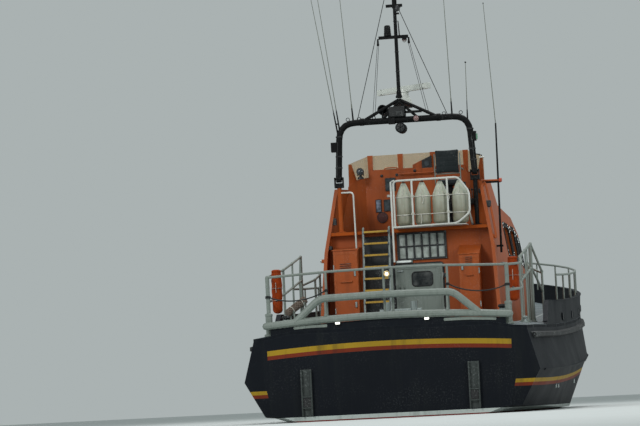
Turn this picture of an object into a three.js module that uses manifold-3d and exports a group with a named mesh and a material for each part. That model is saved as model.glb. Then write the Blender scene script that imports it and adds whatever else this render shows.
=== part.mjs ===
// An all-weather rescue lifeboat, afloat. Millimetres, +X starboard, +Y forward, +Z up.
// The origin is on the centreline amidships, at the waterline.
import * as THREE from "three";
import { mergeVertices } from "three/addons/utils/BufferGeometryUtils.js";
import Module from "manifold-3d";

const wasm = await Module();
wasm.setup();

// Driving dimensions
const GAP = 0.4; // between pieces that touch
const WELD = 1e-3;
const TRANSOM_Y = -8000;
const STEM_Y = 8350;
const DECK_THICK = 50;
const DECK_CAMBER = 80;
const DECK_FLAT = 0.78; // share of the half breadth where the deck is level across
const WALL = 60; // thickness of the superstructure's panels
const KEEL_Z = -1400;
const KEEL_HALF = 60;
const CASING_Y = -4500; // aft face of the superstructure
const WING_Y = -5150; // the side walls run on aft as raked wings
const COCKPIT_Y = -2700; // forward end of the cockpit
const COCKPIT_FLOOR_Z = 3300;
const FLOOR_LIP_Y = -4665; // the cockpit floor overhangs the aft face
const COAMING_Z = 4490;
const DOOR = { x0: -250, x1: 500, z0: 1680, z1: 2625 };
const VENT = { x0: -218, x1: 614, z0: 2765, z1: 3215 };
const PIVOT = { y: -4600, z: 4250, pin: 20 }; // the folding arch's hinge line
const ARCH_FOOT_X = 1212;
const SHAFT = { x: 1050, y: -6700, z: -900, angle: 12, radius: 32, length: 2900 };
const RUDDER_Y = -7350;
const MASTHEAD_Z = 8000;

const RAIL = 21; // radius of rails and stanchions
const SIDES = ["port", "starboard"];
const handOf = (side) => (side === "port" ? -1 : 1);

// Hull sections from the transom to the stem, as half breadths and heights
const HULL_COLUMNS = "y keelZ chineX chineZ knuckleX knuckleZ edgeX edgeZ".split(" ");
const HULL_SECTIONS = [
  [TRANSOM_Y, -550, 1960, 115, 2090, 700, 2070, 1420],
  [-7850, -560, 2130, 110, 2455, 690, 2272, 1408],
  [-7000, -610, 2260, 95, 2560, 700, 2335, 1435],
  [-5600, -680, 2315, 75, 2610, 720, 2400, 1460],
  [-4000, -740, 2350, 50, 2640, 750, 2450, 1500],
  [-2000, -790, 2345, 30, 2655, 815, 2490, 1575],
  [0, -830, 2300, 35, 2650, 900, 2500, 1670],
  [2000, -845, 2130, 110, 2560, 1010, 2470, 1790],
  [3500, -800, 1830, 250, 2380, 1140, 2360, 1900],
  [5000, -650, 1330, 520, 2010, 1340, 2090, 2030],
  [6200, -360, 830, 830, 1500, 1560, 1700, 2150],
  [7200, 100, 400, 1180, 930, 1790, 1190, 2265],
  [7900, 800, 160, 1530, 440, 2010, 650, 2350],
  [STEM_Y, 1600, 30, 1860, 60, 2170, 90, 2420],
].map((row) => Object.fromEntries(row.map((value, i) => [HULL_COLUMNS[i], value])));

// Superstructure sections: half breadth at the deck, half breadth and height
// at the roof's edge, rise of the crown, how far the side's knuckle stands out
const HOUSE_COLUMNS = "y footX topX topZ crown bulge".split(" ");
const HOUSE_SECTIONS = [
  [WING_Y, 1610, 1328, 4060, 40, 65],
  [CASING_Y, 1600, 1318, 4080, 40, 65],
  [COCKPIT_Y, 1680, 1290, 4190, 40, 40],
  [-2000, 1690, 1330, 3800, 40, 4],
  [0, 1690, 1370, 3690, 50, 4],
  [2300, 1600, 1290, 3480, 0, 4],
  [3300, 1450, 1190, 2780, 0, 4],
  [4500, 1100, 990, 2330, 0, 4],
].map((row) => Object.fromEntries(row.map((value, i) => [HOUSE_COLUMNS[i], value])));
const HOUSE_FOOT_Z = 1500;
const HOUSE_KNUCKLE = 0.56; // share of the side's height where its knuckle lies
const ROOF_FRONT_Y = 2300;
const NOSE_Y = 4500;

// colour, roughness, metalness
const FINISH = {
  navy: [0x10161f, 0.4, 0],
  deck: [0x4a5357, 0.85, 0],
  orange: [0xd8431a, 0.5, 0],
  rubber: [0x181a1c, 0.8, 0],
  antifouling: [0x6e2017, 0.7, 0],
  bronze: [0xa07a3c, 0.4, 1],
  galvanised: [0x9aa5a3, 0.5, 0.6],
  grey_paint: [0x9fa9a6, 0.5, 0],
  black_paint: [0x101213, 0.45, 0],
  glass: [0x8c9696, 0.1, 0],
  tinted_glass: [0x1c2426, 0.1, 0],
  fender: [0xc9c6bb, 0.6, 0],
  bag: [0xe0451f, 0.7, 0],
  seat: [0x23272b, 0.7, 0],
  radar_white: [0xdcdcd6, 0.4, 0],
  tread: [0x42474a, 0.8, 0],
  rope: [0x1d1f20, 0.9, 0],
};

// Geometry helpers

// A geometry whose shared vertices are merged, with positions only.
function weld(geometry) {
  const bare = geometry.clone();
  bare.deleteAttribute("normal");
  bare.deleteAttribute("uv");
  return mergeVertices(bare, WELD);
}

// A closed geometry as a solid that can be joined and cut.
function solidOf(geometry) {
  const closed = weld(geometry);
  const vertProperties = closed.attributes.position.array;
  const triVerts = new Uint32Array(closed.index.array);
  const make = () => new wasm.Manifold(new wasm.Mesh({ numProp: 3, vertProperties, triVerts }));
  const made = make();
  if (made.volume() > 0) return made;
  for (let i = 0; i < triVerts.length; i += 3) {
    [triVerts[i + 1], triVerts[i + 2]] = [triVerts[i + 2], triVerts[i + 1]];
  }
  return make();
}

function geometryOf(solid) {
  const { vertProperties, numProp, numVert, triVerts } = solid.getMesh();
  const positions = new Float32Array(numVert * 3);
  for (let i = 0; i < numVert; i++) {
    positions.set(vertProperties.subarray(i * numProp, i * numProp + 3), i * 3);
  }
  const geometry = new THREE.BufferGeometry();
  geometry.setAttribute("position", new THREE.BufferAttribute(positions, 3));
  geometry.setIndex(new THREE.BufferAttribute(triVerts, 1));
  return geometry;
}

const join = (...solids) => solids.flat().reduce((whole, next) => whole.add(next));
const cut = (solid, ...tools) => tools.flat().reduce((whole, tool) => whole.subtract(tool), solid);
const moved = (solid, x, y, z) => solidOf(geometryOf(solid).translate(x, y, z));
const vector = (point) => new THREE.Vector3(...point);

function box([x0, x1], [y0, y1], [z0, z1]) {
  const block = new THREE.BoxGeometry(Math.abs(x1 - x0), y1 - y0, z1 - z0);
  return solidOf(block.translate((x0 + x1) / 2, (y0 + y1) / 2, (z0 + z1) / 2));
}

// A round bar between two points, tapering to the tip radius.
function rod(from, to, radius, sides = 8, tip = radius) {
  const along = vector(to).sub(vector(from));
  const bar = weld(new THREE.CylinderGeometry(tip, radius, along.length(), sides));
  const turn = new THREE.Quaternion().setFromUnitVectors(
    new THREE.Vector3(0, 1, 0),
    along.clone().normalize(),
  );
  const middle = vector(from).addScaledVector(along, 0.5);
  return solidOf(bar.applyQuaternion(turn).translate(middle.x, middle.y, middle.z));
}

function ball(at, radius, around = 8, down = 6) {
  return solidOf(weld(new THREE.SphereGeometry(radius, around, down)).translate(...at));
}

// A path through the given points that is sampled at the points themselves.
class Route extends THREE.Curve {
  constructor(points) {
    super();
    this.points = points.map(vector);
  }
  getUtoTmapping(u) {
    return u;
  }
  getPoint(t, target = new THREE.Vector3()) {
    const place = t * (this.points.length - 1);
    const i = Math.min(Math.floor(place), this.points.length - 2);
    return target.lerpVectors(this.points[i], this.points[i + 1], place - i);
  }
}

// A round tube through the points.
function tube(points, radius, sides = 8) {
  const section = Array.from({ length: sides }, (_, i) => {
    const angle = (2 * Math.PI * i) / sides;
    return new THREE.Vector2(radius * Math.cos(angle), radius * Math.sin(angle));
  });
  const options = { steps: points.length - 1, extrudePath: new Route(points), bevelEnabled: false };
  return solidOf(new THREE.ExtrudeGeometry(new THREE.Shape(section), options));
}

// The points of a polyline whose inner corners are rounded.
function rounded(points, radius, steps = 4) {
  const out = [points[0]];
  for (let i = 1; i < points.length - 1; i++) {
    const corner = vector(points[i]);
    const start = vector(points[i - 1]).sub(corner).setLength(radius).add(corner);
    const end = vector(points[i + 1]).sub(corner).setLength(radius).add(corner);
    const bend = new THREE.QuadraticBezierCurve3(start, corner, end);
    out.push(...bend.getPoints(steps).map((p) => p.toArray()));
  }
  out.push(points.at(-1));
  return out;
}

// A closed body through rings with the same number of points. Each ring lies square to the axis.
function loft(rings, axis = "y") {
  const count = rings[0].length;
  const flat = { x: [1, 2], y: [0, 2], z: [0, 1] }[axis];
  const cap = (ring) =>
    THREE.ShapeUtils.triangulateShape(
      ring.map((p) => new THREE.Vector2(p[flat[0]], p[flat[1]])),
      [],
    );
  const index = [];
  for (let r = 0; r < rings.length - 1; r++) {
    for (let i = 0; i < count; i++) {
      const j = (i + 1) % count;
      const [a, b] = [r * count + i, r * count + j];
      const [c, d] = [b + count, a + count];
      // A warped face is split along its shorter diagonal, so that both sides of the boat match.
      const [here, next] = [rings[r], rings[r + 1]];
      const straight = vector(here[i]).distanceTo(vector(next[j]));
      const crossed = vector(here[j]).distanceTo(vector(next[i]));
      index.push(...(straight <= crossed + WELD ? [a, b, c, a, c, d] : [a, b, d, b, c, d]));
    }
  }
  // The caps are turned to agree with the sides.
  const area = (ring) =>
    ring.reduce((sum, p, i) => {
      const q = ring[(i + 1) % ring.length];
      return sum + p[flat[0]] * q[flat[1]] - q[flat[0]] * p[flat[1]];
    }, 0);
  const last = (rings.length - 1) * count;
  for (const [ring, shift] of [[rings[0], 0], [rings.at(-1), last]]) {
    for (const [a, b, c] of cap(ring)) {
      const sameWay = area([ring[a], ring[b], ring[c]]) * area(ring) > 0;
      const face = sameWay === shift > 0 ? [a, b, c] : [a, c, b];
      index.push(...face.map((i) => i + shift));
    }
  }
  const geometry = new THREE.BufferGeometry();
  geometry.setAttribute("position", new THREE.Float32BufferAttribute(rings.flat(2), 3));
  geometry.setIndex(index);
  return solidOf(geometry);
}

// An outline drawn across an axis and pulled along it: [y, z] along x, [x, z] along y, [x, y] along z.
function prism(axis, outline, from, to) {
  const put = {
    x: (u, v, w) => [w, u, v],
    y: (u, v, w) => [u, w, v],
    z: (u, v, w) => [u, v, w],
  }[axis];
  return loft(
    [from, to].map((w) => outline.map(([u, v]) => put(u, v, w))),
    axis,
  );
}

// A rectangle with rounded corners.
function roundedBox(u0, u1, v0, v1, radius, steps = 3) {
  const shape = new THREE.Shape();
  shape.absarc(u1 - radius, v0 + radius, radius, -Math.PI / 2, 0);
  shape.absarc(u1 - radius, v1 - radius, radius, 0, Math.PI / 2);
  shape.absarc(u0 + radius, v1 - radius, radius, Math.PI / 2, Math.PI);
  shape.absarc(u0 + radius, v0 + radius, radius, Math.PI, 1.5 * Math.PI);
  return shape.getPoints(steps).map((p) => [p.x, p.y]);
}

// The values of a table of sections at any place along the boat.
function sectionAt(table, y) {
  const i = Math.max(1, table.findIndex((row) => row.y >= y));
  const [a, b] = [table[i - 1], table[i]];
  const t = (y - a.y) / (b.y - a.y);
  return Object.fromEntries(Object.keys(a).map((key) => [key, a[key] + t * (b[key] - a[key])]));
}
const hullAt = (y) => sectionAt(HULL_SECTIONS, y);
const houseAt = (y) => sectionAt(HOUSE_SECTIONS, y);
const deckZ = (y) => hullAt(y).edgeZ + DECK_CAMBER;

// The superstructure's side from foot to top, by the knuckle, as half breadths and heights
const sideOutline = ({ footX, topX, topZ, bulge }) => [
  [footX, HOUSE_FOOT_Z],
  [
    THREE.MathUtils.lerp(footX, topX, HOUSE_KNUCKLE) + bulge,
    THREE.MathUtils.lerp(HOUSE_FOOT_Z, topZ, HOUSE_KNUCKLE),
  ],
  [topX, topZ],
];

// The outer face of the superstructure's side at a place and height.
function sideX(y, z) {
  const [foot, knuckle, top] = sideOutline(houseAt(y));
  const [low, high] = z < knuckle[1] ? [foot, knuckle] : [knuckle, top];
  return THREE.MathUtils.mapLinear(z, low[1], high[1], low[0], high[0]);
}

const boat = new THREE.Group();
boat.name = "lifeboat";

function piece(name, solid, finish) {
  const [color, roughness, metalness] = FINISH[finish];
  const material = new THREE.MeshStandardMaterial({ color, roughness, metalness });
  const mesh = new THREE.Mesh(geometryOf(solid), material);
  mesh.name = name;
  boat.add(mesh);
  return mesh;
}

const mirrored = (points) => points.concat([...points].reverse().map(([x, z]) => [-x, z]));
const atY = (outline, y) => outline.map(([x, z]) => [x, y, z]);

// Hull and deck

function hullOutline(s, top) {
  const keelHalf = Math.min(KEEL_HALF, s.chineX / 2);
  return mirrored([
    [keelHalf, s.keelZ],
    [s.chineX * 0.94, s.chineZ - 12],
    [s.chineX, s.chineZ],
    [s.knuckleX, s.knuckleZ],
    [s.edgeX, s.edgeZ + top],
    [s.edgeX * DECK_FLAT, s.edgeZ + DECK_CAMBER + top],
  ]);
}

const hullSolid = (top) => loft(HULL_SECTIONS.map((s) => atY(hullOutline(s, top), s.y)));
const bareHull = hullSolid(-DECK_THICK - GAP);
// What stands on the deck or hangs from the bottom is cut to these, which keep the gap.
const deckCutter = moved(hullSolid(0), 0, 0, GAP);
const bottomCutter = moved(bareHull, 0, 0, -GAP);

const shaftTurn = THREE.MathUtils.degToRad(SHAFT.angle);
const shaftPoint = (hand, s) => [
  hand * SHAFT.x,
  SHAFT.y + s * Math.cos(shaftTurn),
  SHAFT.z + s * Math.sin(shaftTurn),
];
const SHAFT_BORE = SHAFT.radius + 12;
const STOCK = { radius: 36, bore: 44, top: -120, bottom: -560 };

const bores = SIDES.map(handOf).flatMap((hand) => [
  rod(shaftPoint(hand, 2000), shaftPoint(hand, SHAFT.length + 60), SHAFT_BORE, 12),
  rod([hand * SHAFT.x, RUDDER_Y, -700], [hand * SHAFT.x, RUDDER_Y, STOCK.top + 20], STOCK.bore, 12),
]);
piece("hull", cut(bareHull, bores), "navy");

const HATCH = { y: 5450, half: 330, rise: 120 };
const hatchZ = deckZ(HATCH.y) + HATCH.rise;

function deckOutline(s) {
  const top = [
    [s.edgeX, s.edgeZ],
    [s.edgeX * DECK_FLAT, s.edgeZ + DECK_CAMBER],
  ];
  const upper = mirrored(top);
  const lower = upper.map(([x, z]) => [x, z - DECK_THICK]).reverse();
  return upper.concat(lower);
}
const hatchRing = cut(
  box([-HATCH.half, HATCH.half], [HATCH.y - HATCH.half, HATCH.y + HATCH.half], [deckZ(HATCH.y) - 60, hatchZ]),
  hullSolid(-DECK_THICK / 2),
);
piece("deck", join(loft(HULL_SECTIONS.map((s) => atY(deckOutline(s), s.y))), hatchRing), "deck");

// Bulwark, belting and keel

const BULWARK = { start: -5400, full: -4850, height: 400, thick: 60 };
function bulwarkTop(y) {
  const rise = Math.min(1, (y - BULWARK.start) / (BULWARK.full - BULWARK.start));
  return 12 + rise * BULWARK.height;
}
const bulwarkFlare = (y) => THREE.MathUtils.mapLinear(y, BULWARK.start, STEM_Y, -30, 60);

function bulwark(hand) {
  const places = [BULWARK.start, BULWARK.full, -2000, 0, 2000, 3500, 5000, 6200, 7200, 7900, STEM_Y - 40];
  const rings = places.map((y) => {
    const s = hullAt(y);
    const outer = Math.max(s.edgeX - 4, BULWARK.thick + 8);
    const inner = outer - BULWARK.thick;
    const lean = bulwarkFlare(y) * Math.min(1, bulwarkTop(y) / BULWARK.height);
    const foot = s.edgeZ - 2;
    const top = s.edgeZ + bulwarkTop(y);
    return [
      [outer, foot],
      [outer + lean, top],
      [Math.max(inner + lean, 6), top],
      [Math.max(inner, 6), foot],
    ].map(([x, z]) => [hand * x, y, z]);
  });
  return cut(loft(rings), deckCutter);
}

const stemZ = hullAt(STEM_Y).edgeZ;

// The belting is a D section that hugs the topside just under the deck edge.
const BELT = { drop: 110, height: 110, depth: 55 };
const BELT_PLACES = [-7560, -7000, -5600, -4000, -2000, 0, 2000, 3500, 5000, 6200, 7200, 7900, STEM_Y];
function belting(hand) {
  const rings = BELT_PLACES.map((y) => {
    const s = hullAt(y);
    const slope = (s.knuckleX - s.edgeX) / (s.edgeZ - s.knuckleZ);
    const skin = (drop) => s.edgeX + slope * drop;
    const mid = BELT.drop + BELT.height / 2;
    return [
      [skin(BELT.drop) - 30, s.edgeZ - BELT.drop],
      [skin(mid) + BELT.depth, s.edgeZ - mid + BELT.height * 0.3],
      [skin(mid) + BELT.depth, s.edgeZ - mid - BELT.height * 0.3],
      [skin(BELT.drop + BELT.height) - 30, s.edgeZ - BELT.drop - BELT.height],
    ].map(([x, z]) => [hand * x, y, z]);
  });
  const nose = box([-150, 150], [STEM_Y - 10, STEM_Y + BELT.depth], [stemZ - 220, stemZ - 110]);
  const skinGap = moved(bareHull, hand * GAP * 2, 0, 0);
  return cut(join(loft(rings), nose), skinGap, bareHull, moved(bareHull, 0, GAP, 0));
}

const keelOutline = [
  [-6350, -500],
  [-6150, -1150],
  [-5900, KEEL_Z],
  [-1400, KEEL_Z],
  [1200, -1150],
  [2700, -700],
];
piece("keel", cut(prism("x", keelOutline, -KEEL_HALF, KEEL_HALF), bottomCutter), "antifouling");

// Both sides meet at the stem.
const stemCap = (z0, z1) => box([-110, 110], [STEM_Y - 110, STEM_Y - 35], [z0, z1]);
const bothBulwarks = join(SIDES.map(handOf).map(bulwark));
piece("bulwark", join(bothBulwarks, cut(stemCap(stemZ, stemZ + BULWARK.height - 10), deckCutter)), "navy");
piece("belting", join(SIDES.map(handOf).map(belting)), "rubber");

// Propellers, shafts, brackets and rudders

const BLADES = 5;
const BLADE_STATIONS = [
  // radius, half chord, pitch angle in degrees, half thickness
  [70, 70, 62, 16],
  [200, 130, 42, 12],
  [320, 135, 30, 8],
  [390, 60, 25, 5],
];
function blade(hand, turn) {
  const rings = BLADE_STATIONS.map(([r, chord, pitch, thick]) => {
    const p = THREE.MathUtils.degToRad(pitch) * hand;
    return [
      [-chord, 0],
      [0, -thick],
      [chord, 0],
      [0, thick],
    ].map(([u, v]) => [u * Math.cos(p) - v * Math.sin(p), r, u * Math.sin(p) + v * Math.cos(p)]);
  });
  // Blades stand around the local z axis.
  return solidOf(geometryOf(loft(rings)).rotateZ(turn));
}

function propeller(hand) {
  const blades = Array.from({ length: BLADES }, (_, i) => blade(hand, (i * 2 * Math.PI) / BLADES));
  const hub = new THREE.LatheGeometry(
    [
      [0, -190],
      [40, -170],
      [80, -90],
      [92, 90],
      [SHAFT.radius, 100],
      [SHAFT.radius, SHAFT.length],
      [0, SHAFT.length],
    ].map(([r, s]) => new THREE.Vector2(r, s)),
    12,
  );
  const turned = solidOf(weld(hub).rotateX(Math.PI / 2));
  const whole = geometryOf(join(turned, blades));
  // Local +z points forward along the shaft.
  whole.rotateX(-Math.PI / 2 + shaftTurn);
  return solidOf(whole.translate(...shaftPoint(hand, 0)));
}

function shaftBracket(hand) {
  const [aft, fore] = [shaftPoint(hand, 200), shaftPoint(hand, 380)];
  const barrel = rod(aft, fore, 72, 12);
  const strut = prism(
    "x",
    [
      [aft[1] + 20, aft[2]],
      [fore[1] - 10, fore[2]],
      [fore[1] + 60, -150],
      [aft[1] + 90, -150],
    ],
    hand * SHAFT.x - 16,
    hand * SHAFT.x + 16,
  );
  const bore = rod(shaftPoint(hand, 100), shaftPoint(hand, 480), SHAFT.radius + 5, 12);
  return cut(join(barrel, cut(strut, bottomCutter)), bore);
}

// Blade sections of a balanced spade rudder: chord ends ahead of and behind the stock
const RUDDER_SECTIONS = [
  // z, fore, aft
  [-1250, 130, -330],
  [STOCK.bottom, 200, -400],
];
function rudder(hand) {
  const rings = RUDDER_SECTIONS.map(([z, fore, aft]) => {
    return [
      [0, fore],
      [30, fore - 80],
      [34, 0],
      [4, aft],
      [-4, aft],
      [-34, 0],
      [-30, fore - 80],
    ].map(([x, y]) => [hand * SHAFT.x + x, RUDDER_Y + y, z]);
  });
  const at = (z) => [hand * SHAFT.x, RUDDER_Y, z];
  const stock = rod(at(STOCK.bottom - 60), at(STOCK.top), STOCK.radius, 12);
  return join(loft(rings, "z"), stock);
}

for (const side of SIDES) {
  const hand = handOf(side);
  piece("propeller_" + side, propeller(hand), "bronze");
  piece("shaft_bracket_" + side, shaftBracket(hand), "bronze");
  piece("rudder_" + side, rudder(hand), "antifouling");
}

// Transom channels

const CHANNEL = { x: 1385, half: 90, depth: 60, web: 14, z0: 100, z1: 860 };
for (const side of SIDES) {
  const middle = handOf(side) * CHANNEL.x;
  const inner = CHANNEL.half - 22;
  const back = TRANSOM_Y - GAP;
  const outline = [
    [middle - CHANNEL.half, back],
    [middle + CHANNEL.half, back],
    [middle + CHANNEL.half, back - CHANNEL.depth],
    [middle + inner, back - CHANNEL.depth],
    [middle + inner, back - CHANNEL.web],
    [middle - inner, back - CHANNEL.web],
    [middle - inner, back - CHANNEL.depth],
    [middle - CHANNEL.half, back - CHANNEL.depth],
  ];
  piece("transom_channel_" + side, prism("z", outline, CHANNEL.z0, CHANNEL.z1), "galvanised");
}

// Stern guard and rails

const GUARD = { radius: 62, y: -8010, half: 2018, z: 1687, camber: 83 };
const guardZ = (x) => GUARD.z - GUARD.camber * (x / GUARD.half) ** 2;
const HUMP = { foot: 1530, top: 1105, z: 2012, crown: 18, bend: 110, legX: 1010 };
const CHOCKS = { xs: [-1900, -1150, -400, 400, 1150, 1900], half: 35, y0: -7985, y1: -7900 };

function sternGuard() {
  const across = [-1, -0.75, -0.5, -0.25, 0, 0.25, 0.5, 0.75, 1].map((t) => {
    const x = t * GUARD.half;
    return [x, GUARD.y, guardZ(x)];
  });
  const lower = tube(across, GUARD.radius, 10);
  const ends = [-1, 1].map((hand) => ball([hand * GUARD.half, GUARD.y, guardZ(GUARD.half)], GUARD.radius));
  const half = (hand) => [
    [hand * HUMP.top, GUARD.y, HUMP.z],
    [hand * HUMP.foot, GUARD.y, guardZ(HUMP.foot)],
  ];
  const hump = rounded([...half(-1).reverse(), [0, GUARD.y, HUMP.z + HUMP.crown], ...half(1)], HUMP.bend);
  const legs = [-HUMP.legX, HUMP.legX].map((x) =>
    rod([x, GUARD.y, guardZ(x)], [x, GUARD.y, HUMP.z], RAIL),
  );
  // Chocks carry the guard on the deck's aft edge.
  const chocks = CHOCKS.xs.map((x) =>
    box([x - CHOCKS.half, x + CHOCKS.half], [CHOCKS.y0, CHOCKS.y1], [HOUSE_FOOT_Z - 100, guardZ(x)]),
  );
  return cut(join(lower, ends, tube(hump, GUARD.radius, 10), legs, chocks), deckCutter);
}
piece("stern_guard", sternGuard(), "grey_paint");

// A board closes the space under the guard, ahead of the tube.
const STERN_BOARD = { half: 1950, y0: -7998, y1: CHOCKS.y0 - 2 };
function sternBoard() {
  const top = [-1, -0.75, -0.5, -0.25, 0, 0.25, 0.5, 0.75, 1].map((t) => {
    const x = t * STERN_BOARD.half;
    return [x, guardZ(x) - GUARD.radius - GAP];
  });
  const foot = [STERN_BOARD.half, -STERN_BOARD.half].map((x) => [x, HOUSE_FOOT_Z - 100]);
  return cut(prism("y", [...top, ...foot], STERN_BOARD.y0, STERN_BOARD.y1), deckCutter);
}
piece("stern_board", sternBoard(), "navy");

const AFT_RAIL = { y: -7860, half: 1990, z: 2415, crown: 55 };
const CORNER_POST = { radius: 34, foot: 1380, socketTop: 1795, socketRadius: 58 };
const aftRailZ = (x) => AFT_RAIL.z + AFT_RAIL.crown * (1 - (x / AFT_RAIL.half) ** 2);
function aftRail() {
  const top = [-1, -0.5, 0, 0.5, 1].map((t) => {
    const x = t * AFT_RAIL.half;
    return [x, AFT_RAIL.y, aftRailZ(x)];
  });
  const posts = [-1010, -45, 95, 1010].map((x) =>
    rod([x, AFT_RAIL.y, 1400], [x, AFT_RAIL.y, aftRailZ(x)], RAIL),
  );
  const corners = [-AFT_RAIL.half, AFT_RAIL.half].flatMap((x) => [
    rod([x, AFT_RAIL.y, CORNER_POST.foot], [x, AFT_RAIL.y, AFT_RAIL.z], CORNER_POST.radius),
    rod(
      [x, AFT_RAIL.y, CORNER_POST.foot],
      [x, AFT_RAIL.y, CORNER_POST.socketTop],
      CORNER_POST.socketRadius,
    ),
    ball([x, AFT_RAIL.y, AFT_RAIL.z], CORNER_POST.radius),
  ]);
  return cut(join(tube(top, RAIL), posts, corners), deckCutter);
}
const aftRailSolid = aftRail();
piece("aft_rail", aftRailSolid, "grey_paint");

// Side rails rise forward from the quarters and slope down to a post beside the bulwark.
// Columns: x, y, z, radius of the post there or 0
const SIDE_RAIL = [
  [2000, -7802, 2417, 0],
  [2130, -7050, 2462, 0],
  [2130, -6750, 2498, 0],
  [2045, -6000, 2622, 22],
  [2057, -5010, 2780, 17],
  [2069, -4034, 2942, 25],
  [2200, -3450, 2467, 20],
];
const SIDE_RAIL_DROP = { low: 420, foot: 357 };
// A handrail leads on from the foot post towards the wheelhouse.
const LEAD_RAIL = [
  [2200, -3450, 2440],
  [1963, -3200, 2560],
  [1905, -3000, 2651],
];
function sideRail(hand) {
  const last = SIDE_RAIL.length - 1;
  const top = SIDE_RAIL.map(([x, y, z]) => [hand * x, y, z]);
  const low = top.map(([x, y, z], i) => [x, y, z - (i < last ? SIDE_RAIL_DROP.low : SIDE_RAIL_DROP.foot)]);
  const posts = SIDE_RAIL.filter(([, , , radius]) => radius).map(([x, y, z, radius]) =>
    rod([hand * x, y, 1380], [hand * x, y, z], radius),
  );
  const lead = LEAD_RAIL.map(([x, y, z]) => [hand * x, y, z]);
  const leadPosts = lead.slice(1).map(([x, y, z]) => rod([x, y, 1380], [x, y, z], RAIL));
  const joints = [...top, ...low, ...lead].map((p) => ball(p, RAIL));
  return cut(
    join(tube(top, RAIL), tube(low, RAIL), tube(lead, RAIL), posts, leadPosts, joints),
    deckCutter,
  );
}
for (const side of SIDES) piece("side_rail_" + side, sideRail(handOf(side)), "grey_paint");

// The bow rail runs round the foredeck on the bulwark.
const BOW_RAIL = { height: 480, inset: 60 };
const BOW_RAIL_PLACES = [-3000, -1600, 0, 1600, 3200, 4700, 6000, 7000, 7700];
function bowRail() {
  const half = BOW_RAIL_PLACES.map((y) => {
    const s = hullAt(y);
    return [s.edgeX - BOW_RAIL.inset, y, s.edgeZ + BULWARK.height + BOW_RAIL.height];
  });
  const bow = [0, 8150, hullAt(8150).edgeZ + BULWARK.height + BOW_RAIL.height - 20];
  const port = half.map(([x, y, z]) => [-x, y, z]);
  const stanchions = [...half, ...port].map(([x, y, z]) => {
    const foot = hullAt(y).edgeZ + bulwarkTop(y) - 100;
    return rod([x, y, foot], [x, y, z], 17);
  });
  const top = tube([...port, bow, ...[...half].reverse()], RAIL);
  return cut(join(top, stanchions), bothBulwarks, moved(bothBulwarks, 0, 0, GAP), deckCutter);
}
piece("bow_rail", bowRail(), "grey_paint");

// Rescue bags hang inside the side rails.
const BAG = { x: 2007, y: -6900 };
for (const side of SIDES) {
  const profile = [
    [0, 1840],
    [70, 1850],
    [95, 1910],
    [95, 2520],
    [60, 2580],
    [0, 2590],
  ].map(([r, z]) => new THREE.Vector2(r, z));
  const bag = weld(new THREE.LatheGeometry(profile, 10)).rotateX(Math.PI / 2);
  bag.translate(handOf(side) * BAG.x, BAG.y, 0);
  piece("rescue_bag_" + side, solidOf(bag), "bag");
}

// Superstructure panels

const SIDE_WINDOWS = [
  // y0, y1, z0, z1
  [-1850, -950, 2880, 3440],
  [-750, 150, 2880, 3430],
  [350, 1200, 2870, 3390],
  [1400, 2120, 2860, 3330],
];
const placesBetween = (from, to) =>
  [from, ...HOUSE_SECTIONS.map((s) => s.y).filter((y) => y > from && y < to), to];

function sideShell(hand) {
  const rings = placesBetween(WING_Y, NOSE_Y).map((y) => {
    const outer = sideOutline(houseAt(y));
    const inner = [...outer].reverse().map(([x, z]) => [x - WALL, z]);
    return [...outer, ...inner].map(([x, z]) => [hand * x, y, z]);
  });
  return loft(rings);
}

// What the raked aft edges of the wings leave open
const wingRake = prism(
  "x",
  [
    [WING_Y - 100, 1400],
    [WING_Y + 30, 1400],
    [CASING_Y - 10, 4000],
    [CASING_Y + 60, 4200],
    [WING_Y - 100, 4200],
  ],
  -2000,
  2000,
);

function houseSide(hand) {
  const windows = SIDE_WINDOWS.map(([y0, y1, z0, z1]) =>
    prism("x", roundedBox(y0, y1, z0, z1, 90), hand * 1100, hand * 1900),
  );
  return cut(sideShell(hand), windows, wingRake, deckCutter);
}

// Panels that span between the sides, a wall's thickness deep.
function houseTop(from, to) {
  const rings = placesBetween(from, to).map((y) => {
    const s = houseAt(y);
    const x = s.topX - WALL - GAP;
    return atY(
      [
        [x, s.topZ],
        [0, s.topZ + s.crown],
        [-x, s.topZ],
        [-x, s.topZ - WALL],
        [0, s.topZ + s.crown - WALL],
        [x, s.topZ - WALL],
      ],
      y,
    );
  });
  return loft(rings);
}

// A cross wall between the sides, from the deck to a height.
function crossWall(y0, y1, top) {
  const inside = (y, z) => sideX(y, z) - WALL - GAP * 2;
  const rings = [y0, y1].map((y) => {
    const knuckleZ = Math.min(top - 1, sideOutline(houseAt(y))[1][1]);
    return atY(mirrored([HOUSE_FOOT_Z, knuckleZ, top].map((z) => [inside(y, z), z])), y);
  });
  return cut(loft(rings), deckCutter);
}

for (const side of SIDES) piece("wheelhouse_side_" + side, houseSide(handOf(side)), "orange");
piece("wheelhouse_roof", houseTop(COCKPIT_Y, ROOF_FRONT_Y - GAP), "orange");

const FRONT_WINDOWS = [
  [-1040, -400],
  [-330, 330],
  [400, 1040],
];
const nose = crossWall(NOSE_Y - WALL, NOSE_Y, houseAt(NOSE_Y).topZ - 5);
const frontCuts = FRONT_WINDOWS.map(([x0, x1]) => prism("y", roundedBox(x0, x1, 2900, 3390, 80), 2200, 3400));
piece("wheelhouse_front", cut(join(houseTop(ROOF_FRONT_Y, NOSE_Y), nose), frontCuts), "orange");

const ventHole = box([VENT.x0, VENT.x1], [CASING_Y - 10, CASING_Y + 100], [VENT.z0, VENT.z1]);
const doorHole = box([DOOR.x0, DOOR.x1], [CASING_Y - 10, CASING_Y + 100], [DOOR.z0, DOOR.z1]);
const bulkhead = crossWall(CASING_Y, CASING_Y + WALL, COCKPIT_FLOOR_Z - WALL - GAP);
piece("aft_bulkhead", cut(bulkhead, ventHole, doorHole), "orange");

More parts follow.
